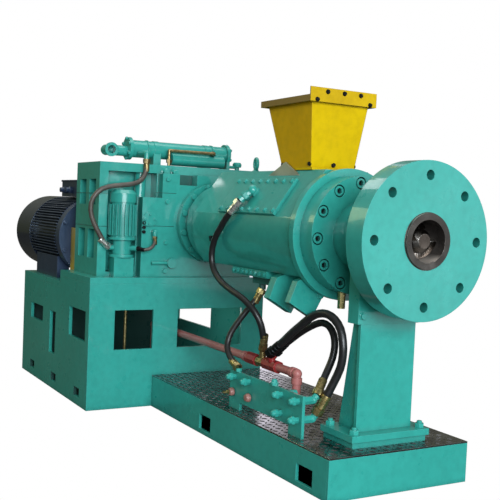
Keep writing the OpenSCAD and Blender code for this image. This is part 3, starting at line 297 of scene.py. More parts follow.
MATERIALS = {
    "teal_paint": teal("teal_paint"),
    "teal_cast": paint("teal_cast", TEAL, TEAL_SHADE, TEAL_EDGE_WEAR_AND_HIGHLIGHT, 0.34, 90, 0.6, 0.3),
    # Teal with painted shade on faces inside the hollow base: rear and right walls, floor, and the left wall's slot
    # reveals near the floor.
    "rear_wall_painted_shade": teal("rear_wall_painted_shade", (1, 0, 0)),
    "right_wall_painted_shade": teal("right_wall_painted_shade", (0, -1, 0), side_colour=(0.035, 0.27, 0.225)),
    "left_wall_painted_shade": teal("left_wall_painted_shade", (1, 0, 0), below=0.17),
    "base_floor_painted_shade": teal("base_floor_painted_shade", (0, 0, 1)),
    "seam_paint": paint("seam_paint", (0.01, 0.10, 0.085), (0.008, 0.08, 0.07), (0.02, 0.2, 0.17), 0.4, 240, 0.0),
    # Painted shade: a dark teal for the drain block under the barrel and the sheet at the back of the notch.
    "painted_shade_teal": paint("painted_shade_teal", (0.02, 0.13, 0.11), (0.016, 0.10, 0.085), (0.04, 0.2, 0.17), 0.4, 160, 0.0),
    "bare_sheet": steel("bare_sheet", (0.62, 0.63, 0.63), (0.5, 0.51, 0.51), 0.42),
    "yellow_paint": paint("yellow_paint", (0.74, 0.50, 0.002), (0.66, 0.43, 0.002), (0.80, 0.58, 0.03), 0.40, 260,
                          0.0, 0.08),
    # Painted shade: a darker, more orange copy of the yellow, for the hopper's left wall.
    "yellow_painted_shade": paint("yellow_painted_shade", (0.76, 0.45, 0.001), (0.68, 0.385, 0.001), (0.80, 0.55, 0.02), 0.40, 260,
                         0.0, 0.2),
    # Painted shade: the rim's faces toward -Y take a dark brown.
    "rim_paint_shaded_side": paint("rim_paint_shaded_side", (0.72, 0.47, 0.004), (0.55, 0.34, 0.004), (0.35, 0.2, 0.03), 0.40, 260,
                       0.0, 0.2, (0, -1, 0), (0.24, 0.15, 0.035)),
    "fan_paint": paint("fan_paint", (0.016, 0.024, 0.046), (0.013, 0.019, 0.038), (0.16, 0.18, 0.22), 0.16, 160,
                       0.1, 0.8),
    "guard_paint": paint("guard_paint", (0.55, 0.40, 0.05), (0.45, 0.32, 0.04), (0.65, 0.52, 0.12), 0.4, 200, 0.1),
    "motor_paint": paint("motor_paint", (0.028, 0.047, 0.096), (0.022, 0.036, 0.074), (0.12, 0.15, 0.24), 0.34, 160,
                         0.2),
    "pipe_paint": paint("pipe_paint", (0.50, 0.18, 0.17), (0.44, 0.14, 0.13), (0.58, 0.28, 0.26), 0.35, 220, 0.1),
    "valve_paint": paint("valve_paint", (0.40, 0.028, 0.028), (0.26, 0.018, 0.02), (0.55, 0.1, 0.09), 0.3, 220, 0.2),
    "cap_paint": paint("cap_paint", (0.42, 0.2, 0.17), (0.33, 0.14, 0.12), (0.55, 0.34, 0.3), 0.4, 220, 0.1),
    # The liner's front faces carry painted shade; its up-facing faces are pale, part wear and part painted
    # highlight.
    "machined_steel": steel("machined_steel", (0.16, 0.14, 0.125), (0.06, 0.052, 0.047), 0.30, (30, 1, 1),
                            end=(0.048, 0.042, 0.037), worn=(0.9, 0.82, 0.74), metal=0.6),
    # The screw's front faces carry painted shade.
    "screw_steel": steel("screw_steel", (0.44, 0.42, 0.40), (0.15, 0.135, 0.125), 0.20, (30, 1, 1),
                         end=(0.06, 0.048, 0.04)),
    "tread_steel": steel("tread_steel", (0.33, 0.325, 0.33), (0.15, 0.145, 0.145), 0.17),
    # Painted shade: a darker steel for the tread's lozenges.
    "lozenge_painted_shade": steel("lozenge_painted_shade", (0.20, 0.20, 0.205), (0.09, 0.09, 0.092), 0.30),
    "fitting_steel": plated("fitting_steel", (0.86, 0.85, 0.82), (0.55, 0.54, 0.52), 0.26),
    "brass": plated("brass", (0.50, 0.39, 0.17), (0.27, 0.21, 0.09), 0.3),
    "copper": plated("copper", (0.40, 0.29, 0.14), (0.22, 0.165, 0.08), 0.34),
    "black_oxide": plated("black_oxide", (0.03, 0.032, 0.034), (0.014, 0.015, 0.016), 0.42),
    "hose_rubber": rubber("hose_rubber", (0.012, 0.012, 0.013), (0.05, 0.05, 0.048), 0.36),
    "braided_hose": braid("braided_hose", (0.18, 0.155, 0.135), (0.022, 0.019, 0.018)),
}

BLUE_SHEEN = (0.6, 0.78, 1.0, 1.0)
for motor_finish in ("fan_paint", "motor_paint"):
    shader = MATERIALS[motor_finish].node_tree.nodes["Principled BSDF"]
    shader.inputs["Specular Tint"].default_value = BLUE_SHEEN

NODE_FINISH = {
    "screw": "screw_steel",
    "screw_shank": "screw_steel",
    "liner_bush": "machined_steel",
    "tread_plate": "tread_steel",
    "main_motor": "motor_paint",
    "fan_cover": "fan_paint",
    "hopper_rim": "rim_paint_shaded_side",
    # The hopper's left wall takes the yellow's copy with painted shade.
    "hopper_left_wall": "yellow_painted_shade",
    "terminal_box": "motor_paint",
    "coupling_guard": "guard_paint",
    "gearbox_housing": "teal_cast",
    "bearing_plate": "teal_cast",
    "feed_barrel": "teal_cast",
    "water_pipe": "pipe_paint",
    "pipe_valves": "valve_paint",
    "jacket_fittings": "brass",
    "throat_shield": "bare_sheet",
    "cooler_pipe": "copper",
    # The drain block is painted dark for the shade under the barrel.
    "drain_block": "painted_shade_teal",
    "base_rear_wall": "rear_wall_painted_shade",
    "base_right_wall": "right_wall_painted_shade",
    "base_left_wall": "left_wall_painted_shade",
    "base_floor": "base_floor_painted_shade",
}


def finish_nodes():
    """Gives each CAD node its finish: hopper pieces yellow, the rest teal unless named."""
    for name, node in nodes.items():
        default = "yellow_paint" if name.startswith("hopper_") else "teal_paint"
        material = MATERIALS[NODE_FINISH.get(name, default)]
        node.data.materials.clear()
        node.data.materials.append(material)


# Forms: each is (vertices, faces) about the origin, in metres
def hexagon(angle):
    """Radius of a hexagon at an angle, where its corners are at 1."""
    sixth = math.pi / 3
    return math.cos(sixth / 2) / math.cos(angle % sixth - sixth / 2)


def lathe(profile, sides=24):
    """A form turned about +Z. A profile point is (radius, height), with "hex" as third for a hexagon."""
    verts, loops, faces = [], [], []
    for radius, height, *shape in profile:
        start = len(verts)
        if radius == 0:
            verts.append((0, 0, height))
            loops.append([start] * sides)
            continue
        for k in range(sides):
            angle = 2 * math.pi * k / sides
            reach = radius * hexagon(angle) if shape else radius
            verts.append((reach * math.cos(angle), reach * math.sin(angle), height))
        loops.append(list(range(start, start + sides)))
    for low, high in zip(loops, loops[1:]):
        for k in range(sides):
            j = (k + 1) % sides
            faces.append(tuple(dict.fromkeys((low[k], low[j], high[j], high[k]))))
    return verts, faces


def slab(width, depth, height, chamfer):
    """A plate on the XY plane with chamfered edges, centred on the origin."""
    verts, faces = [], []
    for inset, z in ((chamfer, 0), (0, chamfer), (0, height - chamfer), (chamfer, height)):
        x, y = width / 2 - inset, depth / 2 - inset
        verts += [(-x, -y, z), (x, -y, z), (x, y, z), (-x, y, z)]
    for level in range(0, 12, 4):
        for k in range(4):
            j = (k + 1) % 4
            faces.append((level + k, level + j, level + 4 + j, level + 4 + k))
    faces += [(3, 2, 1, 0), (12, 13, 14, 15)]
    return verts, faces


def tube(points, radius, sides=12):
    """A round bar along points, closed at both ends."""
    points = [Vector(p) for p in points]
    verts, faces = [], []
    side = None
    for i, point in enumerate(points):
        ahead = (points[min(i + 1, len(points) - 1)] - points[max(i - 1, 0)]).normalized()
        if side is None:
            side = ahead.orthogonal().normalized()
        side = (side - ahead * side.dot(ahead)).normalized()
        other = ahead.cross(side)
        for k in range(sides):
            angle = 2 * math.pi * k / sides
            verts.append(point + (side * math.cos(angle) + other * math.sin(angle)) * radius)
    for i in range(len(points) - 1):
        for k in range(sides):
            j = (k + 1) % sides
            a, b = i * sides, (i + 1) * sides
            faces.append((a + k, a + j, b + j, b + k))
    faces.append(tuple(range(sides - 1, -1, -1)))
    faces.append(tuple(range(len(verts) - sides, len(verts))))
    return verts, faces


def hoop(radius, thick, sides=28, round_sides=12):
    """A round bar bent to a ring about +Z."""
    verts, faces = [], []
    for i in range(sides):
        turn = 2 * math.pi * i / sides
        for k in range(round_sides):
            angle = 2 * math.pi * k / round_sides
            reach = radius + thick * math.cos(angle)
            verts.append((reach * math.cos(turn), reach * math.sin(turn), thick * math.sin(angle)))
    for i in range(sides):
        for k in range(round_sides):
            j = (k + 1) % round_sides
            a, b = i * round_sides, (i + 1) % sides * round_sides
            faces.append((a + k, b + k, b + j, a + j))
    return verts, faces


def stand(at, toward=UP, spin=0.0):
    """The matrix that stands a form's +Z along a direction at a point."""
    turn = UP.rotation_difference(Vector(toward).normalized()).to_matrix().to_4x4()
    return Matrix.Translation(at) @ turn @ Matrix.Rotation(math.radians(spin), 4, "Z")


def hex_bolt(size, washer=True):
    """A hexagon bolt head of a thread size, with its washer."""
    head, height = 0.92 * size, 0.65 * size
    disc, thick = 1.05 * size, 0.16 * size if washer else 0.0
    profile = []
    if washer:
        profile = [(disc, 0), (disc, 0.8 * thick), (0.96 * disc, thick)]
    profile += [(head, thick, "hex"), (head, thick + 0.86 * height, "hex"), (0.86 * head, thick + height)]
    profile.append((0, thick + height))
    return lathe(profile)


def socket_screw(size):
    """A cap screw head with a hexagon socket."""
    head, socket = 0.75 * size, 0.46 * size
    deep = 0.45 * size
    profile = [(head, 0), (head, 0.92 * size), (0.93 * head, size), (socket, size, "hex")]
    profile += [(socket, deep, "hex"), (0, deep)]
    return lathe(profile)


def stud(size):
    """A nut on a stud that stands a little proud of it."""
    nut, high = 0.92 * size, 0.85 * size
    profile = [(nut, 0, "hex"), (nut, 0.88 * high, "hex"), (0.85 * nut, high), (0.5 * size, high)]
    profile += [(0.5 * size, 1.2 * size), (0.42 * size, 1.28 * size), (0, 1.28 * size)]
    return lathe(profile)


def gather(name, parts, material, body="machine"):
    """One joined piece from (form, matrix) pairs, riding on a body."""
    verts, faces = [], []
    for (form_verts, form_faces), matrix in parts:
        start = len(verts)
        verts += [matrix @ Vector(v) for v in form_verts]
        faces += [tuple(start + i for i in face) for face in form_faces]
    mesh = bpy.data.meshes.new(name)
    mesh.from_pydata(verts, [], faces)
    mesh.polygons.foreach_set("use_smooth", [True] * len(mesh.polygons))
    mesh.set_sharp_from_angle(angle=math.radians(32))
    mesh.materials.append(MATERIALS[material])
    piece = bpy.data.objects.new(name, mesh)
    bpy.context.scene.collection.objects.link(piece)
    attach(piece, body)
    return piece


def ring_of(count, radius, phase=0.0):
    """Points on a circle about the screw axis, as (y, z) pairs."""
    for k in range(count):
        angle = math.radians(phase) + 2 * math.pi * k / count
        yield radius * math.sin(angle), AXIS_Z + radius * math.cos(angle)


# Hoses: the route of each, in metres, as the CAD solid has it
ROUTES = {
    "upper_jacket_hose": [
        (0.776, -0.244, 1.018), (0.750, -0.258, 0.984), (0.708, -0.268, 0.944), (0.660, -0.266, 0.904),
        (0.612, -0.264, 0.862), (0.578, -0.262, 0.808), (0.572, -0.260, 0.750), (0.602, -0.258, 0.700),
        (0.664, -0.254, 0.662), (0.740, -0.248, 0.636), (0.816, -0.238, 0.612), (0.872, -0.222, 0.578),
        (0.902, -0.202, 0.534), (0.906, -0.184, 0.484), (0.896, -0.170, 0.438), (0.885, -0.165, 0.400)],
    "lower_jacket_hose": [
        (0.800, -0.130, 0.646), (0.792, -0.146, 0.612), (0.784, -0.168, 0.580), (0.774, -0.192, 0.546),
        (0.762, -0.216, 0.508), (0.750, -0.238, 0.468), (0.746, -0.254, 0.430), (0.756, -0.264, 0.394),
        (0.784, -0.266, 0.362), (0.824, -0.264, 0.338), (0.862, -0.264, 0.325)],
    "outer_loop_hose": [
        (0.976, -0.188, 0.400), (1.022, -0.182, 0.434), (1.068, -0.176, 0.470), (1.112, -0.170, 0.506),
        (1.160, -0.162, 0.542), (1.206, -0.154, 0.576), (1.250, -0.146, 0.598), (1.296, -0.138, 0.603),
        (1.340, -0.132, 0.588), (1.374, -0.128, 0.556), (1.392, -0.128, 0.512), (1.396, -0.128, 0.464),
        (1.386, -0.130, 0.412), (1.368, -0.144, 0.356), (1.350, -0.166, 0.294), (1.330, -0.190, 0.234)],
    "inner_loop_hose": [
        (0.928, -0.128, 0.392), (0.964, -0.114, 0.428), (1.006, -0.104, 0.460), (1.050, -0.098, 0.490),
        (1.098, -0.092, 0.518), (1.148, -0.086, 0.542), (1.194, -0.084, 0.554), (1.236, -0.082, 0.546),
        (1.268, -0.082, 0.518), (1.284, -0.086, 0.478), (1.288, -0.096, 0.434), (1.294, -0.120, 0.390),
        (1.310, -0.154, 0.348), (1.330, -0.190, 0.304)],
    "oil_hose": [
        (0.014, -0.352, 1.205), (0.014, -0.352, 1.164), (0.018, -0.364, 1.120), (0.030, -0.400, 1.088),
        (0.036, -0.455, 1.074), (0.036, -0.520, 1.066), (0.034, -0.582, 1.048), (0.026, -0.622, 1.004),
        (0.020, -0.630, 0.946), (0.020, -0.612, 0.886), (0.020, -0.582, 0.832), (0.020, -0.556, 0.792),
        (0.020, -0.532, 0.770)],
    "suction_hose": [
        (0.076, -0.412, 0.770), (0.091, -0.396, 0.767), (0.102, -0.375, 0.766), (0.105, -0.351, 0.774),
        (0.099, -0.333, 0.791), (0.088, -0.324, 0.810), (0.080, -0.322, 0.830)],
}
HOSE_DIAMETER = {
    "upper_jacket_hose": 0.028,
    "lower_jacket_hose": 0.026,
    "outer_loop_hose": 0.032,
    "inner_loop_hose": 0.028,
    "oil_hose": 0.024,
    "suction_hose": 0.016,
}
HOSE_FINISH = {"oil_hose": "braided_hose", "suction_hose": "braided_hose"}
FERRULE_FINISH = {
    "upper_jacket_hose": ("fitting_steel", "brass"),
    "lower_jacket_hose": ("brass", "brass"),
    "outer_loop_hose": ("black_oxide", "brass"),
    "inner_loop_hose": ("black_oxide", "brass"),
    "oil_hose": ("copper", "fitting_steel"),
    "suction_hose": ("black_oxide", "copper"),
}


def smooth(points, steps):
    """A Catmull-Rom curve through points, with that many stretches between each two."""
    points = [Vector(p) for p in points]
    ends = [2 * points[0] - points[1], *points, 2 * points[-1] - points[-2]]
    curve = [points[0]]
    for a, b, c, d in zip(ends, ends[1:], ends[2:], ends[3:]):
        for k in range(1, steps + 1):
            t = k / steps
            bend = (2 * a - 5 * b + 4 * c - d) * t * t + (3 * b - a - 3 * c + d) * t ** 3
            curve.append((2 * b + (c - a) * t + bend) / 2)
    return curve


def ferrule(diameter):
    """A crimped sleeve and its nut over a hose's end. The hose leaves it along -Z."""
    d = diameter
    sleeve = [(0.505, -2.6), (0.58, -2.56), (0.61, -2.4), (0.61, -2.2), (0.56, -2.15), (0.56, -2.05)]
    sleeve += [(0.61, -2.0), (0.61, -1.55), (0.56, -1.5), (0.56, -1.4), (0.61, -1.35), (0.61, -0.95)]
    nut = [(0.54, -0.9), (0.74, -0.85, "hex"), (0.74, -0.1, "hex"), (0.66, 0.0), (0, 0.0)]
    return lathe([(r * d, z * d, *shape) for r, z, *shape in sleeve + nut])


def make_hose(name):
    """The hose as one smooth curve, with a ferrule at each end."""
    route = ROUTES[name]
    diameter = HOSE_DIAMETER[name]
    points = smooth(route, 4 if len(route) < 8 else 2)
    curve = bpy.data.curves.new(name + "_line", "CURVE")
    curve.dimensions = "3D"
    curve.bevel_depth = diameter / 2
    curve.bevel_resolution = 4
    curve.use_fill_caps = True
    spline = curve.splines.new("POLY")
    spline.points.add(len(points) - 1)
    for target, point in zip(spline.points, points):
        target.co = (*point, 1)
    spline.use_smooth = True
    finish = HOSE_FINISH.get(name, "hose_rubber")
    curve.materials.append(MATERIALS[finish])
    hose = bpy.data.objects.new(name + "_cover", curve)
    bpy.context.scene.collection.objects.link(hose)
    for side, end, before in (("start", points[0], points[1]), ("end", points[-1], points[-2])):
        metal = FERRULE_FINISH[name][side == "end"]
        parts = [(ferrule(diameter), stand(end, end - before))]
        gather(f"{name}_{side}_ferrule", parts, metal)
    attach(hose, "machine")
    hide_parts(name)


# Screw, fasteners and fittings
def screw_tip():
    """The last half turns of two flights, which wind over the screw's conical tip."""
    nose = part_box("screw")[1][0]
    steps, length, lead, half = 16, 0.058, 0.15, 0.006
    setback, core, end_reach, taper = 0.007, 0.030, 0.054, 0.014
    parts = []
    for phase in (90, 270):
        verts, faces = [], []
        for s in range(steps + 1):
            back = length * (1 - s / steps) + setback
            angle = math.radians(phase) + 2 * math.pi * (back - setback) / lead
            outer = end_reach + taper * back / length
            for reach, shift in ((core, -half), (outer, -half), (outer, half), (core, half)):
                verts.append((nose - back + shift, reach * math.sin(angle), AXIS_Z + reach * math.cos(angle)))
        for s in range(steps):
            for k in range(4):
                j = (k + 1) % 4
                faces.append((4 * s + k, 4 * s + 4 + k, 4 * s + 4 + j, 4 * s + j))
        last = 4 * steps
        faces += [(0, 1, 2, 3), (last + 3, last + 2, last + 1, last)]
        parts.append(((verts, faces), Matrix()))
    gather("screw_tip_flights", parts, "screw_steel", body="screw")


def barrel_fasteners():
    """Cap screws in the ring's counterbores, bolts round the barrel seat and in the lugs."""
    counterbore, ring_size = 0.026, 0.026
    floor_x = RING_FACE_X - counterbore
    screws, sockets = [], []
    socket_floor = lathe([(0.5 * ring_size, 0, "hex"), (0, 0.0004)])
    for y, z in ring_of(12, 0.201, -4):
        at = Vector((floor_x, y, z))
        screws.append((socket_screw(ring_size), stand(at, FRONT)))
        sockets.append((socket_floor, stand(at + FRONT * 0.47 * ring_size, FRONT)))
    gather("ring_cap_screws", screws, "teal_paint")
    gather("ring_screw_sockets", sockets, "black_oxide")
    bolts = []
    for y, z in ring_of(12, 0.182, 15):
        bolts.append((hex_bolt(0.016), stand((SEAT_FACE_X, y, z), FRONT, 17)))
    for x, y, z in ((1.035, -0.078, 0.676), (1.185, -0.098, 0.660)):
        bolts.append((hex_bolt(0.014), stand((x, y, z), FRONT, 10)))
    gather("seat_bolts", bolts, "teal_paint")


def jacket_fasteners():
    """Rows of screws along the sloping cover and the lower cover."""
    low, high = (Vector(c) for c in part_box("upper_jacket_cover"))
    slope_foot, slope_head = Vector((0, -0.234, 0.96)), Vector((0, -0.1, 1.15))
    along = (slope_head - slope_foot).normalized()
    out = FRONT.cross(along).normalized()
    inset, thick, size = 0.016, 0.014, 0.011
    start, end = 0.002 + inset, 0.180 - inset
    columns = 8
    parts = []
    for i in range(columns):
        for s in (start, end):
            x = low.x + inset + (high.x - low.x - 2 * inset) * i / (columns - 1)
            at = Vector((x, 0, 0)) + slope_foot + along * s + out * thick
            parts.append((hex_bolt(size), stand(at, out, 7 * i)))
    gather("cover_bolts", parts, "teal_paint")
    low, high = (Vector(c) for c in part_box("lower_jacket_cover"))
    parts = []
    count = 8
    for i in range(count):
        x = low.x + 0.018 + (high.x - low.x - 0.036) * i / (count - 1)
        for y, toward in ((low.y, LEFT), (high.y, -LEFT)):
            parts.append((hex_bolt(0.011), stand((x, y, (low.z + high.z) / 2), toward, 9 * i)))
    gather("lower_cover_bolts", parts, "teal_paint")


def hopper_fasteners():
    """Bolts through the foot of each hopper wall, and through the angle round the mouth."""
    low, high = (Vector(c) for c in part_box("hopper_flange"))
    level, size = high.z + 0.014, 0.0095
    parts = []
    middle = (low.x + high.x) / 2
    for x, toward in ((low.x + 0.007, -FRONT), (high.x - 0.007, FRONT)):
        parts.append((hex_bolt(size), stand((x, 0, level), toward)))
    for y, toward in ((low.y, LEFT), (high.y, -LEFT)):
        for x in (middle - 0.1, middle + 0.1):
            parts.append((hex_bolt(size), stand((x, y, level), toward)))
    low, high = (Vector(c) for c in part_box("hopper_rim"))
    lip_level, lip_sheet, angle_level = high.z - 0.015, 0.008, high.z - 0.048
    for y in (low.y / 2, 0, high.y / 2):
        parts.append((hex_bolt(0.009), stand((high.x, y, lip_level), FRONT, 40 * y)))
        parts.append((stud(0.008), stand((high.x - lip_sheet, y, lip_level), -FRONT)))
    for y in (low.y * 0.8, high.y * 0.8):
        parts.append((hex_bolt(0.009), stand((high.x, y, angle_level), FRONT, 20)))
    gather("hopper_bolts", parts, "black_oxide")


def pedestal_fasteners():
    """Anchor nuts at the corners of the pedestal's foot, and bolts in its saddle."""
    low, high = (Vector(c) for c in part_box("pedestal_foot"))
    inset = 0.026
    parts = []
    for x in (low.x + inset, high.x - inset):
        for y in (low.y + inset, high.y - inset):
            parts.append((stud(0.020), stand((x, y, high.z), UP, 20)))
    gather("anchor_nuts", parts, "teal_paint")
    low, high = (Vector(c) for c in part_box("pedestal_saddle"))
    parts = []
    for y in (low.y + 0.02, high.y - 0.02):
        for z in (low.z + 0.03, low.z + 0.11):
            parts.append((hex_bolt(0.014), stand((high.x, y, z), FRONT, 12)))
    gather("saddle_bolts", parts, "teal_paint")


def lifting_eyes():
    """Eye bolts on the feed block and on the motor."""
    eye = hoop(0.024, 0.0075)
    collar = lathe([(0.022, 0), (0.022, 0.006), (0.012, 0.012), (0.010, 0.020), (0, 0.020)])
    across = Vector((0.225, 0.974, 0))
    parts = []
    for at in ((0.476, 0, 1.150), (-0.62, MOTOR_Y, 1.006)):
        foot = Vector(at)
        parts.append((collar, stand(foot)))
        parts.append((eye, stand(foot + UP * 0.042, across)))
    return parts


def gearbox_details():
    """Plugs, breather, plate and cover bolts, eye bolts, split lines, and a dark sheet of painted shade at the back
    of the notch.
    """
    plug = [(0.022, 0), (0.022, 0.008), (0.019, 0.010, "hex"), (0.019, 0.026, "hex"), (0.014, 0.030), (0, 0.030)]
    plug = lathe(plug)
    parts = [(plug, stand((0, y, z), FRONT, 8)) for y, z in ((-0.246, 1.146), (-0.196, 1.143))]
    breather = lathe([(0.012, 0), (0.012, 0.018), (0.022, 0.020), (0.024, 0.034), (0.018, 0.044), (0, 0.046)])
    parts.append((breather, stand((-0.10, 0.215, GEARBOX_TOP))))
    parts.append((tube([(-0.10, 0.215, 1.198), (-0.10, 0.165, 1.198)], 0.008), Matrix()))
    for y in (-0.255, 0.20):
        for z in (0.66, 0.80, 1.0, 1.11):
            parts.append((hex_bolt(0.013), stand((BEARING_PLATE_X, y, z), FRONT, 11)))
    cover = 0.008
    for y, z in ((-0.370, 0.912), (-0.345, 0.937), (-0.320, 0.912), (-0.345, 0.887)):
        parts.append((hex_bolt(0.008), stand((BEARING_PLATE_X + cover, y, z), FRONT, 5)))
    gather("gearbox_plugs", parts + lifting_eyes(), "teal_paint")
    parts = []
    for z in (1.027, 0.868):
        parts.append((slab(0.330, 0.003, 0.0006, 0.0002), stand((-0.1675, -0.583, z), LEFT)))
        parts.append((slab(0.0006, 0.044, 0.003, 0.0002), Matrix.Translation((0, -0.561, z))))
    for y, z in ((-0.268, 0.878), (-0.262, 1.041)):
        parts.append((slab(0.0006, 0.11, 0.003, 0.0002), Matrix.Translation((BEARING_PLATE_X, y, z))))
    gather("gearbox_split_lines", parts, "seam_paint")
    square = slab(0.024, 0.024, 0.012, 0.002)
    parts = [(square, stand((0.516, -0.232, 0.846), (0, -0.97, -0.22)))]
    for z in (0.850, 0.872, 0.894):
        parts.append((socket_screw(0.011), stand((BEARING_PLATE_X, -0.374, z), FRONT)))
    gather("body_plug", parts, "black_oxide")
    # Painted shade: a dark sheet that closes the back of the notch.
    parts = [(slab(0.002, 0.093, 0.051, 0.0005), Matrix.Translation((0.001, -0.1425, 1.086)))]
    gather("notch_painted_shade", parts, "painted_shade_teal")


def motor_details():
    """The terminal box's lid and glands, end shield bolts, a fin between each two fins, and the guard sheet."""
    low, high = (Vector(c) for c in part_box("terminal_box"))
    lid = slab(high.x - low.x + 0.008, high.y - low.y + 0.008, 0.010, 0.002)
    middle = (low + high) / 2
    parts = [(lid, stand((middle.x, middle.y, high.z - 0.002)))]
    gland = [(0.020, 0, "hex"), (0.020, 0.016, "hex"), (0.014, 0.018), (0.013, 0.034), (0.008, 0.036), (0, 0.036)]
    gland = lathe(gland)
    for x in (middle.x - 0.05, middle.x + 0.05):
        parts.append((gland, stand((x, low.y, middle.z - 0.006), LEFT)))
    low, high = (Vector(c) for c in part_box("main_motor"))
    for y, z in ring_of(8, 0.190, 22.5):
        parts.append((hex_bolt(0.012), stand((high.x, y + MOTOR_Y, z - AXIS_Z + MOTOR_Z), FRONT, 15)))
    fins, spread, root = 26, 234.0, 0.184
    fin = slab(0.464, 0.005, 0.0245, 0.001)
    for k in range(fins):
        angle = math.radians(90 + spread * ((k + 0.5) / fins - 0.5))
        out = Vector((0, math.cos(angle), math.sin(angle)))
        parts.append((fin, stand(Vector((-0.741, MOTOR_Y, MOTOR_Z)) + out * root, out)))
    gather("motor_trim", parts, "motor_paint")
    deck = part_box("motor_deck")[1][2]
    sheet_top = 0.845
    sheet = slab(0.094, 0.004, sheet_top - deck, 0.001)
    place = Matrix.Translation((-0.387, -0.570, deck))
    gather("guard_sheet", [(sheet, place)], "guard_paint")


def cooler_details():
    """Bolts of the cooler's end flanges, straps over its saddles, pump bolts, nuts on the copper pipe."""
    flange_bolts_r, pump_bolts_r = 0.049, 0.058
    bolts = []
    for y, toward in ((-0.405, LEFT), (0.158, -LEFT)):
        for k in range(6):
            angle = math.pi / 3 * (k + 0.5)
            at = (COOLER_X + flange_bolts_r * math.cos(angle), y, COOLER_Z + flange_bolts_r * math.sin(angle))
            bolts.append((hex_bolt(0.009), stand(at, toward, 10)))
    strap = [(0.0455, -0.014), (0.0455, 0.014), (0.043, 0.014)]
    for y in (-0.255, 0.028):
        bolts.append((lathe(strap, 32), stand((COOLER_X, y, COOLER_Z), LEFT)))
    low, high = (Vector(c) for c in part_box("pump_motor"))
    centre = (low + high) / 2
    for k in range(4):
        angle = math.pi / 2 * (k + 0.5)
        out = Vector((math.cos(angle), math.sin(angle), 0)) * pump_bolts_r
        at = (centre.x + out.x, centre.y + out.y, low.z + 0.012)
        bolts.append((hex_bolt(0.009), stand(at)))
    gather("cooler_bolts", bolts, "teal_paint")
    nut = lathe([(0.014, -0.009, "hex"), (0.014, 0.009, "hex")])
    parts = [(nut, stand((-0.048, -0.205, 1.205))), (nut, stand((-0.064, 0.049, COOLER_Z), FRONT))]
    gather("copper_pipe_nuts", parts, "copper")


def panel_details():
    """Caps, a tip and nuts on the manifold panel, unions of the cover's elbow, riser pipe, pipe collars."""
    cap = lathe([(0.013, 0), (0.017, 0.004), (0.017, 0.014), (0.013, 0.021), (0, 0.023)])
    places = ((0.838, 0.223), (0.974, 0.226))
    gather("panel_caps", [(cap, stand((x, -0.270, z), LEFT)) for x, z in places], "cap_paint")
    tip = lathe([(0.009, 0.02, "hex"), (0.009, 0.032, "hex"), (0.006, 0.034), (0.006, 0.05), (0, 0.05)])
    gather("panel_tip", [(tip, stand((0.838, -0.270, 0.223), LEFT))], "brass")
    nut = [(0.0165, 0, "hex"), (0.0165, 0.011, "hex"), (0.012, 0.013), (0.011, 0.021), (0.006, 0.025), (0, 0.025)]
    nut = lathe(nut)
    places = [(x, z) for x in (1.330, 1.212) for z in (0.289, 0.219)] + [(0.966, 0.289), (0.849, 0.289)]
    parts = [(nut, stand((x, -0.288, z), LEFT, 14)) for x, z in places]
    parts.append((nut, stand((1.148, -0.264, 0.311))))
    joint, hose_end = Vector((0.800, -0.199, 1.064)), Vector(ROUTES["upper_jacket_hose"][0])
    union = lathe([(0.022, 0, "hex"), (0.022, 0.018, "hex"), (0.017, 0.021), (0, 0.021)])
    parts.append((union, stand(joint.lerp(hose_end, 0.42), hose_end - joint)))
    slope_out = Vector((0, -0.817, 0.576))
    parts.append((union, stand(joint - slope_out * 0.017, slope_out, 20)))
    gather("panel_nuts", parts, "teal_paint")
    riser = tube([(-0.25, -0.327, 0.03), (-0.25, -0.327, 0.598)], 0.008)
    gather("base_riser_pipe", [(riser, Matrix())], "brass")
    collar = lathe([(0.0172, -0.012), (0.0215, -0.012), (0.0215, 0.012), (0.0172, 0.012)])
    places = ((1.126, WATER_PIPE_Z, FRONT), (1.152, 0.322, UP), (0.745, WATER_PIPE_Z, FRONT))
    parts = [(collar, stand((x, WATER_PIPE_Y, z), toward)) for x, z, toward in places]
    gather("pipe_collars", parts, "pipe_paint")


def tread_lozenges():
    """Raised lozenges of the tread plate, laid in turn along and across, in a darker steel as painted shade."""
    low, high = (Vector(c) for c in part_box("tread_plate"))
    pitch, length, width, rise = 0.030, 0.026, 0.009, 0.0018
    pad_low, pad_high = (Vector(c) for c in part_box("pedestal_pad"))
    verts = [(-length / 2, 0, 0), (0, -width / 2, 0), (length / 2, 0, 0), (0, width / 2, 0)]
    verts += [(x * 0.6, y * 0.55, rise) for x, y, z in verts]
    faces = [(k, (k + 1) % 4, 4 + (k + 1) % 4, 4 + k) for k in range(4)] + [(4, 5, 6, 7)]
    parts = []
    for i in range(int((high.x - low.x) / pitch)):
        for j in range(int((high.y - low.y) / pitch)):
            x, y = low.x + pitch * (i + 0.6), low.y + pitch * (j + 0.6)
            if pad_low.x < x < pad_high.x and pad_low.y < y < pad_high.y:
                continue
            turn = 45 if (i + j) % 2 else -45
            parts.append(((verts, faces), stand((x, y, high.z), UP, turn)))
    gather("tread_lozenges", parts, "lozenge_painted_shade")


# Stage, light and camera
def make_light(name, at, toward, size, power, colour=(1, 1, 1)):
    light = bpy.data.lights.new(name, "AREA")
    light.shape = "RECTANGLE"
    light.size, light.size_y = size
    light.energy = power
    light.color = colour
    lamp = bpy.data.objects.new(name, light)
    lamp.location = at
    lamp.rotation_euler = (Vector(toward) - Vector(at)).to_track_quat("-Z", "Y").to_euler()
    bpy.context.scene.collection.objects.link(lamp)
    return lamp


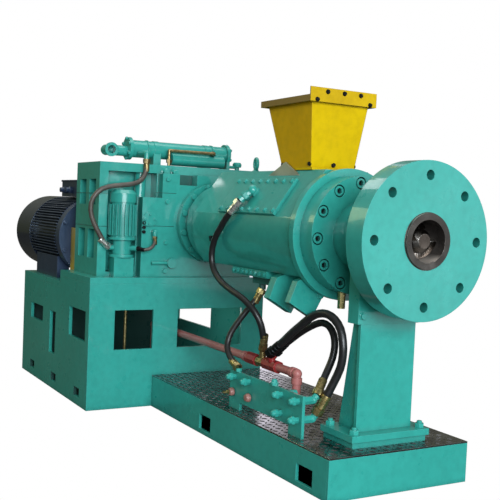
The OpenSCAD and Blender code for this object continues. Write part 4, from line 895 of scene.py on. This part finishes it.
def make_lights():
    """A broad front light, the roof, a faint panel on the right, a glow in the base, and the hall's windows."""
    centre = (0.6, 0.0, 0.8)
    make_light("key_light", (7.6, -2.1, 2.3), centre, (4.6, 3.0), 570, (0.92, 1.0, 1.06))
    make_light("roof_light", (0.2, 0.3, 5.0), centre, (3.6, 2.4), 75, (0.97, 0.99, 1.0))
    make_light("far_window", (-2.6, -0.3, 4.2), (1.4, -0.2, 1.0), (1.3, 0.45), 9, (0.97, 0.98, 1.0))
    make_light("right_panel", (3.94, 1.97, 0.95), (1.68, 0.0, 0.9), (1.0, 1.6), 7.5, (0.92, 1.0, 1.08))
    make_light("base_glow", (-0.25, -0.05, 0.42), (-0.25, 0.3, 0.36), (0.25, 0.2), 0.5, (0.95, 1.0, 0.95))
    for k in range(2):
        at = (-2.9 + 0.85 * k, -2.9 - 0.45 * k, 2.7)
        make_light(f"side_window_{k}", at, (1.2, -0.2, 1.0), (0.7, 1.4), 11, (0.95, 1.0, 0.5))
        at = (-4.2, -1.3 + 0.5 * k, 3.1)
        make_light(f"end_window_{k}", at, (0.4, -0.2, 1.0), (0.05, 0.6), 0.8, (0.98, 0.98, 1.0))


def make_world():
    """White to the camera. To the object a dim hall, with a light roof and a bright far end behind it."""
    world = bpy.data.worlds.new("hall")
    bpy.context.scene.world = world
    world.use_nodes = True
    tree = world.node_tree
    tree.nodes.clear()

    def add(kind, *sources, **values):
        node = tree.nodes.new(kind)
        for key, value in values.items():
            setattr(node, key, value)
        for source, target in zip(sources, node.inputs):
            if isinstance(source, bpy.types.NodeSocket):
                tree.links.new(source, target)
            elif source is not None:
                target.default_value = source
        return node

    heading = add("ShaderNodeTexCoord").outputs["Generated"]
    level = add("ShaderNodeSeparateXYZ", heading).outputs["Z"]
    shades = add("ShaderNodeValToRGB", add("ShaderNodeMapRange", level, -1.0).outputs[0])
    stops = shades.color_ramp.elements
    stops[0].position, stops[0].color = 0.30, (0.018, 0.018, 0.013, 1)
    stops[1].position, stops[1].color = 1.0, (0.38, 0.38, 0.37, 1)
    middle = stops.new(0.52)
    middle.color = (0.085, 0.090, 0.050, 1)
    behind = add("ShaderNodeVectorMath", heading, (-0.868, 0.497, 0.0), operation="DOT_PRODUCT").outputs["Value"]
    beside = add("ShaderNodeVectorMath", heading, (0.4985, 0.867, 0.0), operation="DOT_PRODUCT").outputs["Value"]
    away = add("ShaderNodeMath", beside, operation="ABSOLUTE").outputs[0]
    ahead = add("ShaderNodeMapRange", behind, 0.3, 0.5).outputs[0]
    facing = add("ShaderNodeMath", add("ShaderNodeMapRange", away, 0.055, 0.015).outputs[0], ahead,
                 operation="MULTIPLY").outputs[0]
    over = add("ShaderNodeMapRange", level, 0.0, 0.06).outputs[0]
    under = add("ShaderNodeMapRange", level, 0.48, 0.40).outputs[0]
    bright = add("ShaderNodeMath", add("ShaderNodeMath", facing, over, operation="MULTIPLY").outputs[0], under,
                 operation="MULTIPLY").outputs[0]
    mixed = add("ShaderNodeMix", data_type="RGBA")
    tree.links.new(bright, mixed.inputs["Factor"])
    tree.links.new(shades.outputs["Color"], mixed.inputs[6])
    mixed.inputs[7].default_value = (1.75, 1.68, 1.9, 1)
    hall = add("ShaderNodeBackground", mixed.outputs[2])
    sheet = add("ShaderNodeBackground", (1, 1, 1, 1))
    ray = add("ShaderNodeLightPath").outputs["Is Camera Ray"]
    add("ShaderNodeOutputWorld", add("ShaderNodeMixShader", ray, hall.outputs[0], sheet.outputs[0]).outputs[0])


def make_floor():
    """A dim floor that the machine reflects. The camera sees only its dark patch under base and plinth, painted
    shade seen through the base's openings.
    """
    reach = 12.0
    low, high = (Vector(c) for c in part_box("base_floor"))
    plinth_low, plinth_high = (Vector(c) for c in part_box("tread_plate"))
    inset = 0.02
    patch = (low.x + inset, plinth_high.x - inset, plinth_low.y + inset, plinth_high.y - inset)
    # The patch is darker than the floor: painted shade.
    sheets = (("floor", (-reach, reach, -reach, reach), 0.08), ("floor_shade_patch", patch, 0.03))
    for name, (x0, x1, y0, y1), shade in sheets:
        mesh = bpy.data.meshes.new(name)
        mesh.from_pydata([(x0, y0, 0), (x1, y0, 0), (x1, y1, 0), (x0, y1, 0)], [], [(0, 1, 2, 3)])
        g = Graph(name)
        g.set(Base_Color=(shade, shade, 0.9 * shade, 1), Roughness=0.7, Specular_IOR_Level=0.3)
        mesh.materials.append(g.material)
        floor = bpy.data.objects.new(name, mesh)
        floor.visible_camera = name == "floor_shade_patch"
        bpy.context.scene.collection.objects.link(floor)


def make_camera():
    yaw, pitch = math.radians(VIEW_YAW), math.radians(VIEW_PITCH)
    ahead = Vector((-math.cos(yaw) * math.cos(pitch), math.sin(yaw) * math.cos(pitch), math.sin(pitch)))
    data = bpy.data.cameras.new("photo_view")
    data.lens = LENS_MM
    data.sensor_width = 36.0
    camera = bpy.data.objects.new("photo_view", data)
    camera.rotation_mode = "QUATERNION"
    camera.location = CAMERA_AT
    camera.rotation_quaternion = ahead.to_track_quat("-Z", "Y") @ Quaternion((0, 0, 1), math.radians(VIEW_ROLL))
    bpy.context.scene.collection.objects.link(camera)
    bpy.context.scene.camera = camera


make_camera()
make_lights()
make_world()
make_floor()
finish_nodes()
for hose_name in ROUTES:
    make_hose(hose_name)
screw_tip()
barrel_fasteners()
jacket_fasteners()
hopper_fasteners()
pedestal_fasteners()
gearbox_details()
motor_details()
cooler_details()
panel_details()
tread_lozenges()

bpy.context.scene.view_settings.view_transform = "Standard"
bpy.context.view_layer.update()
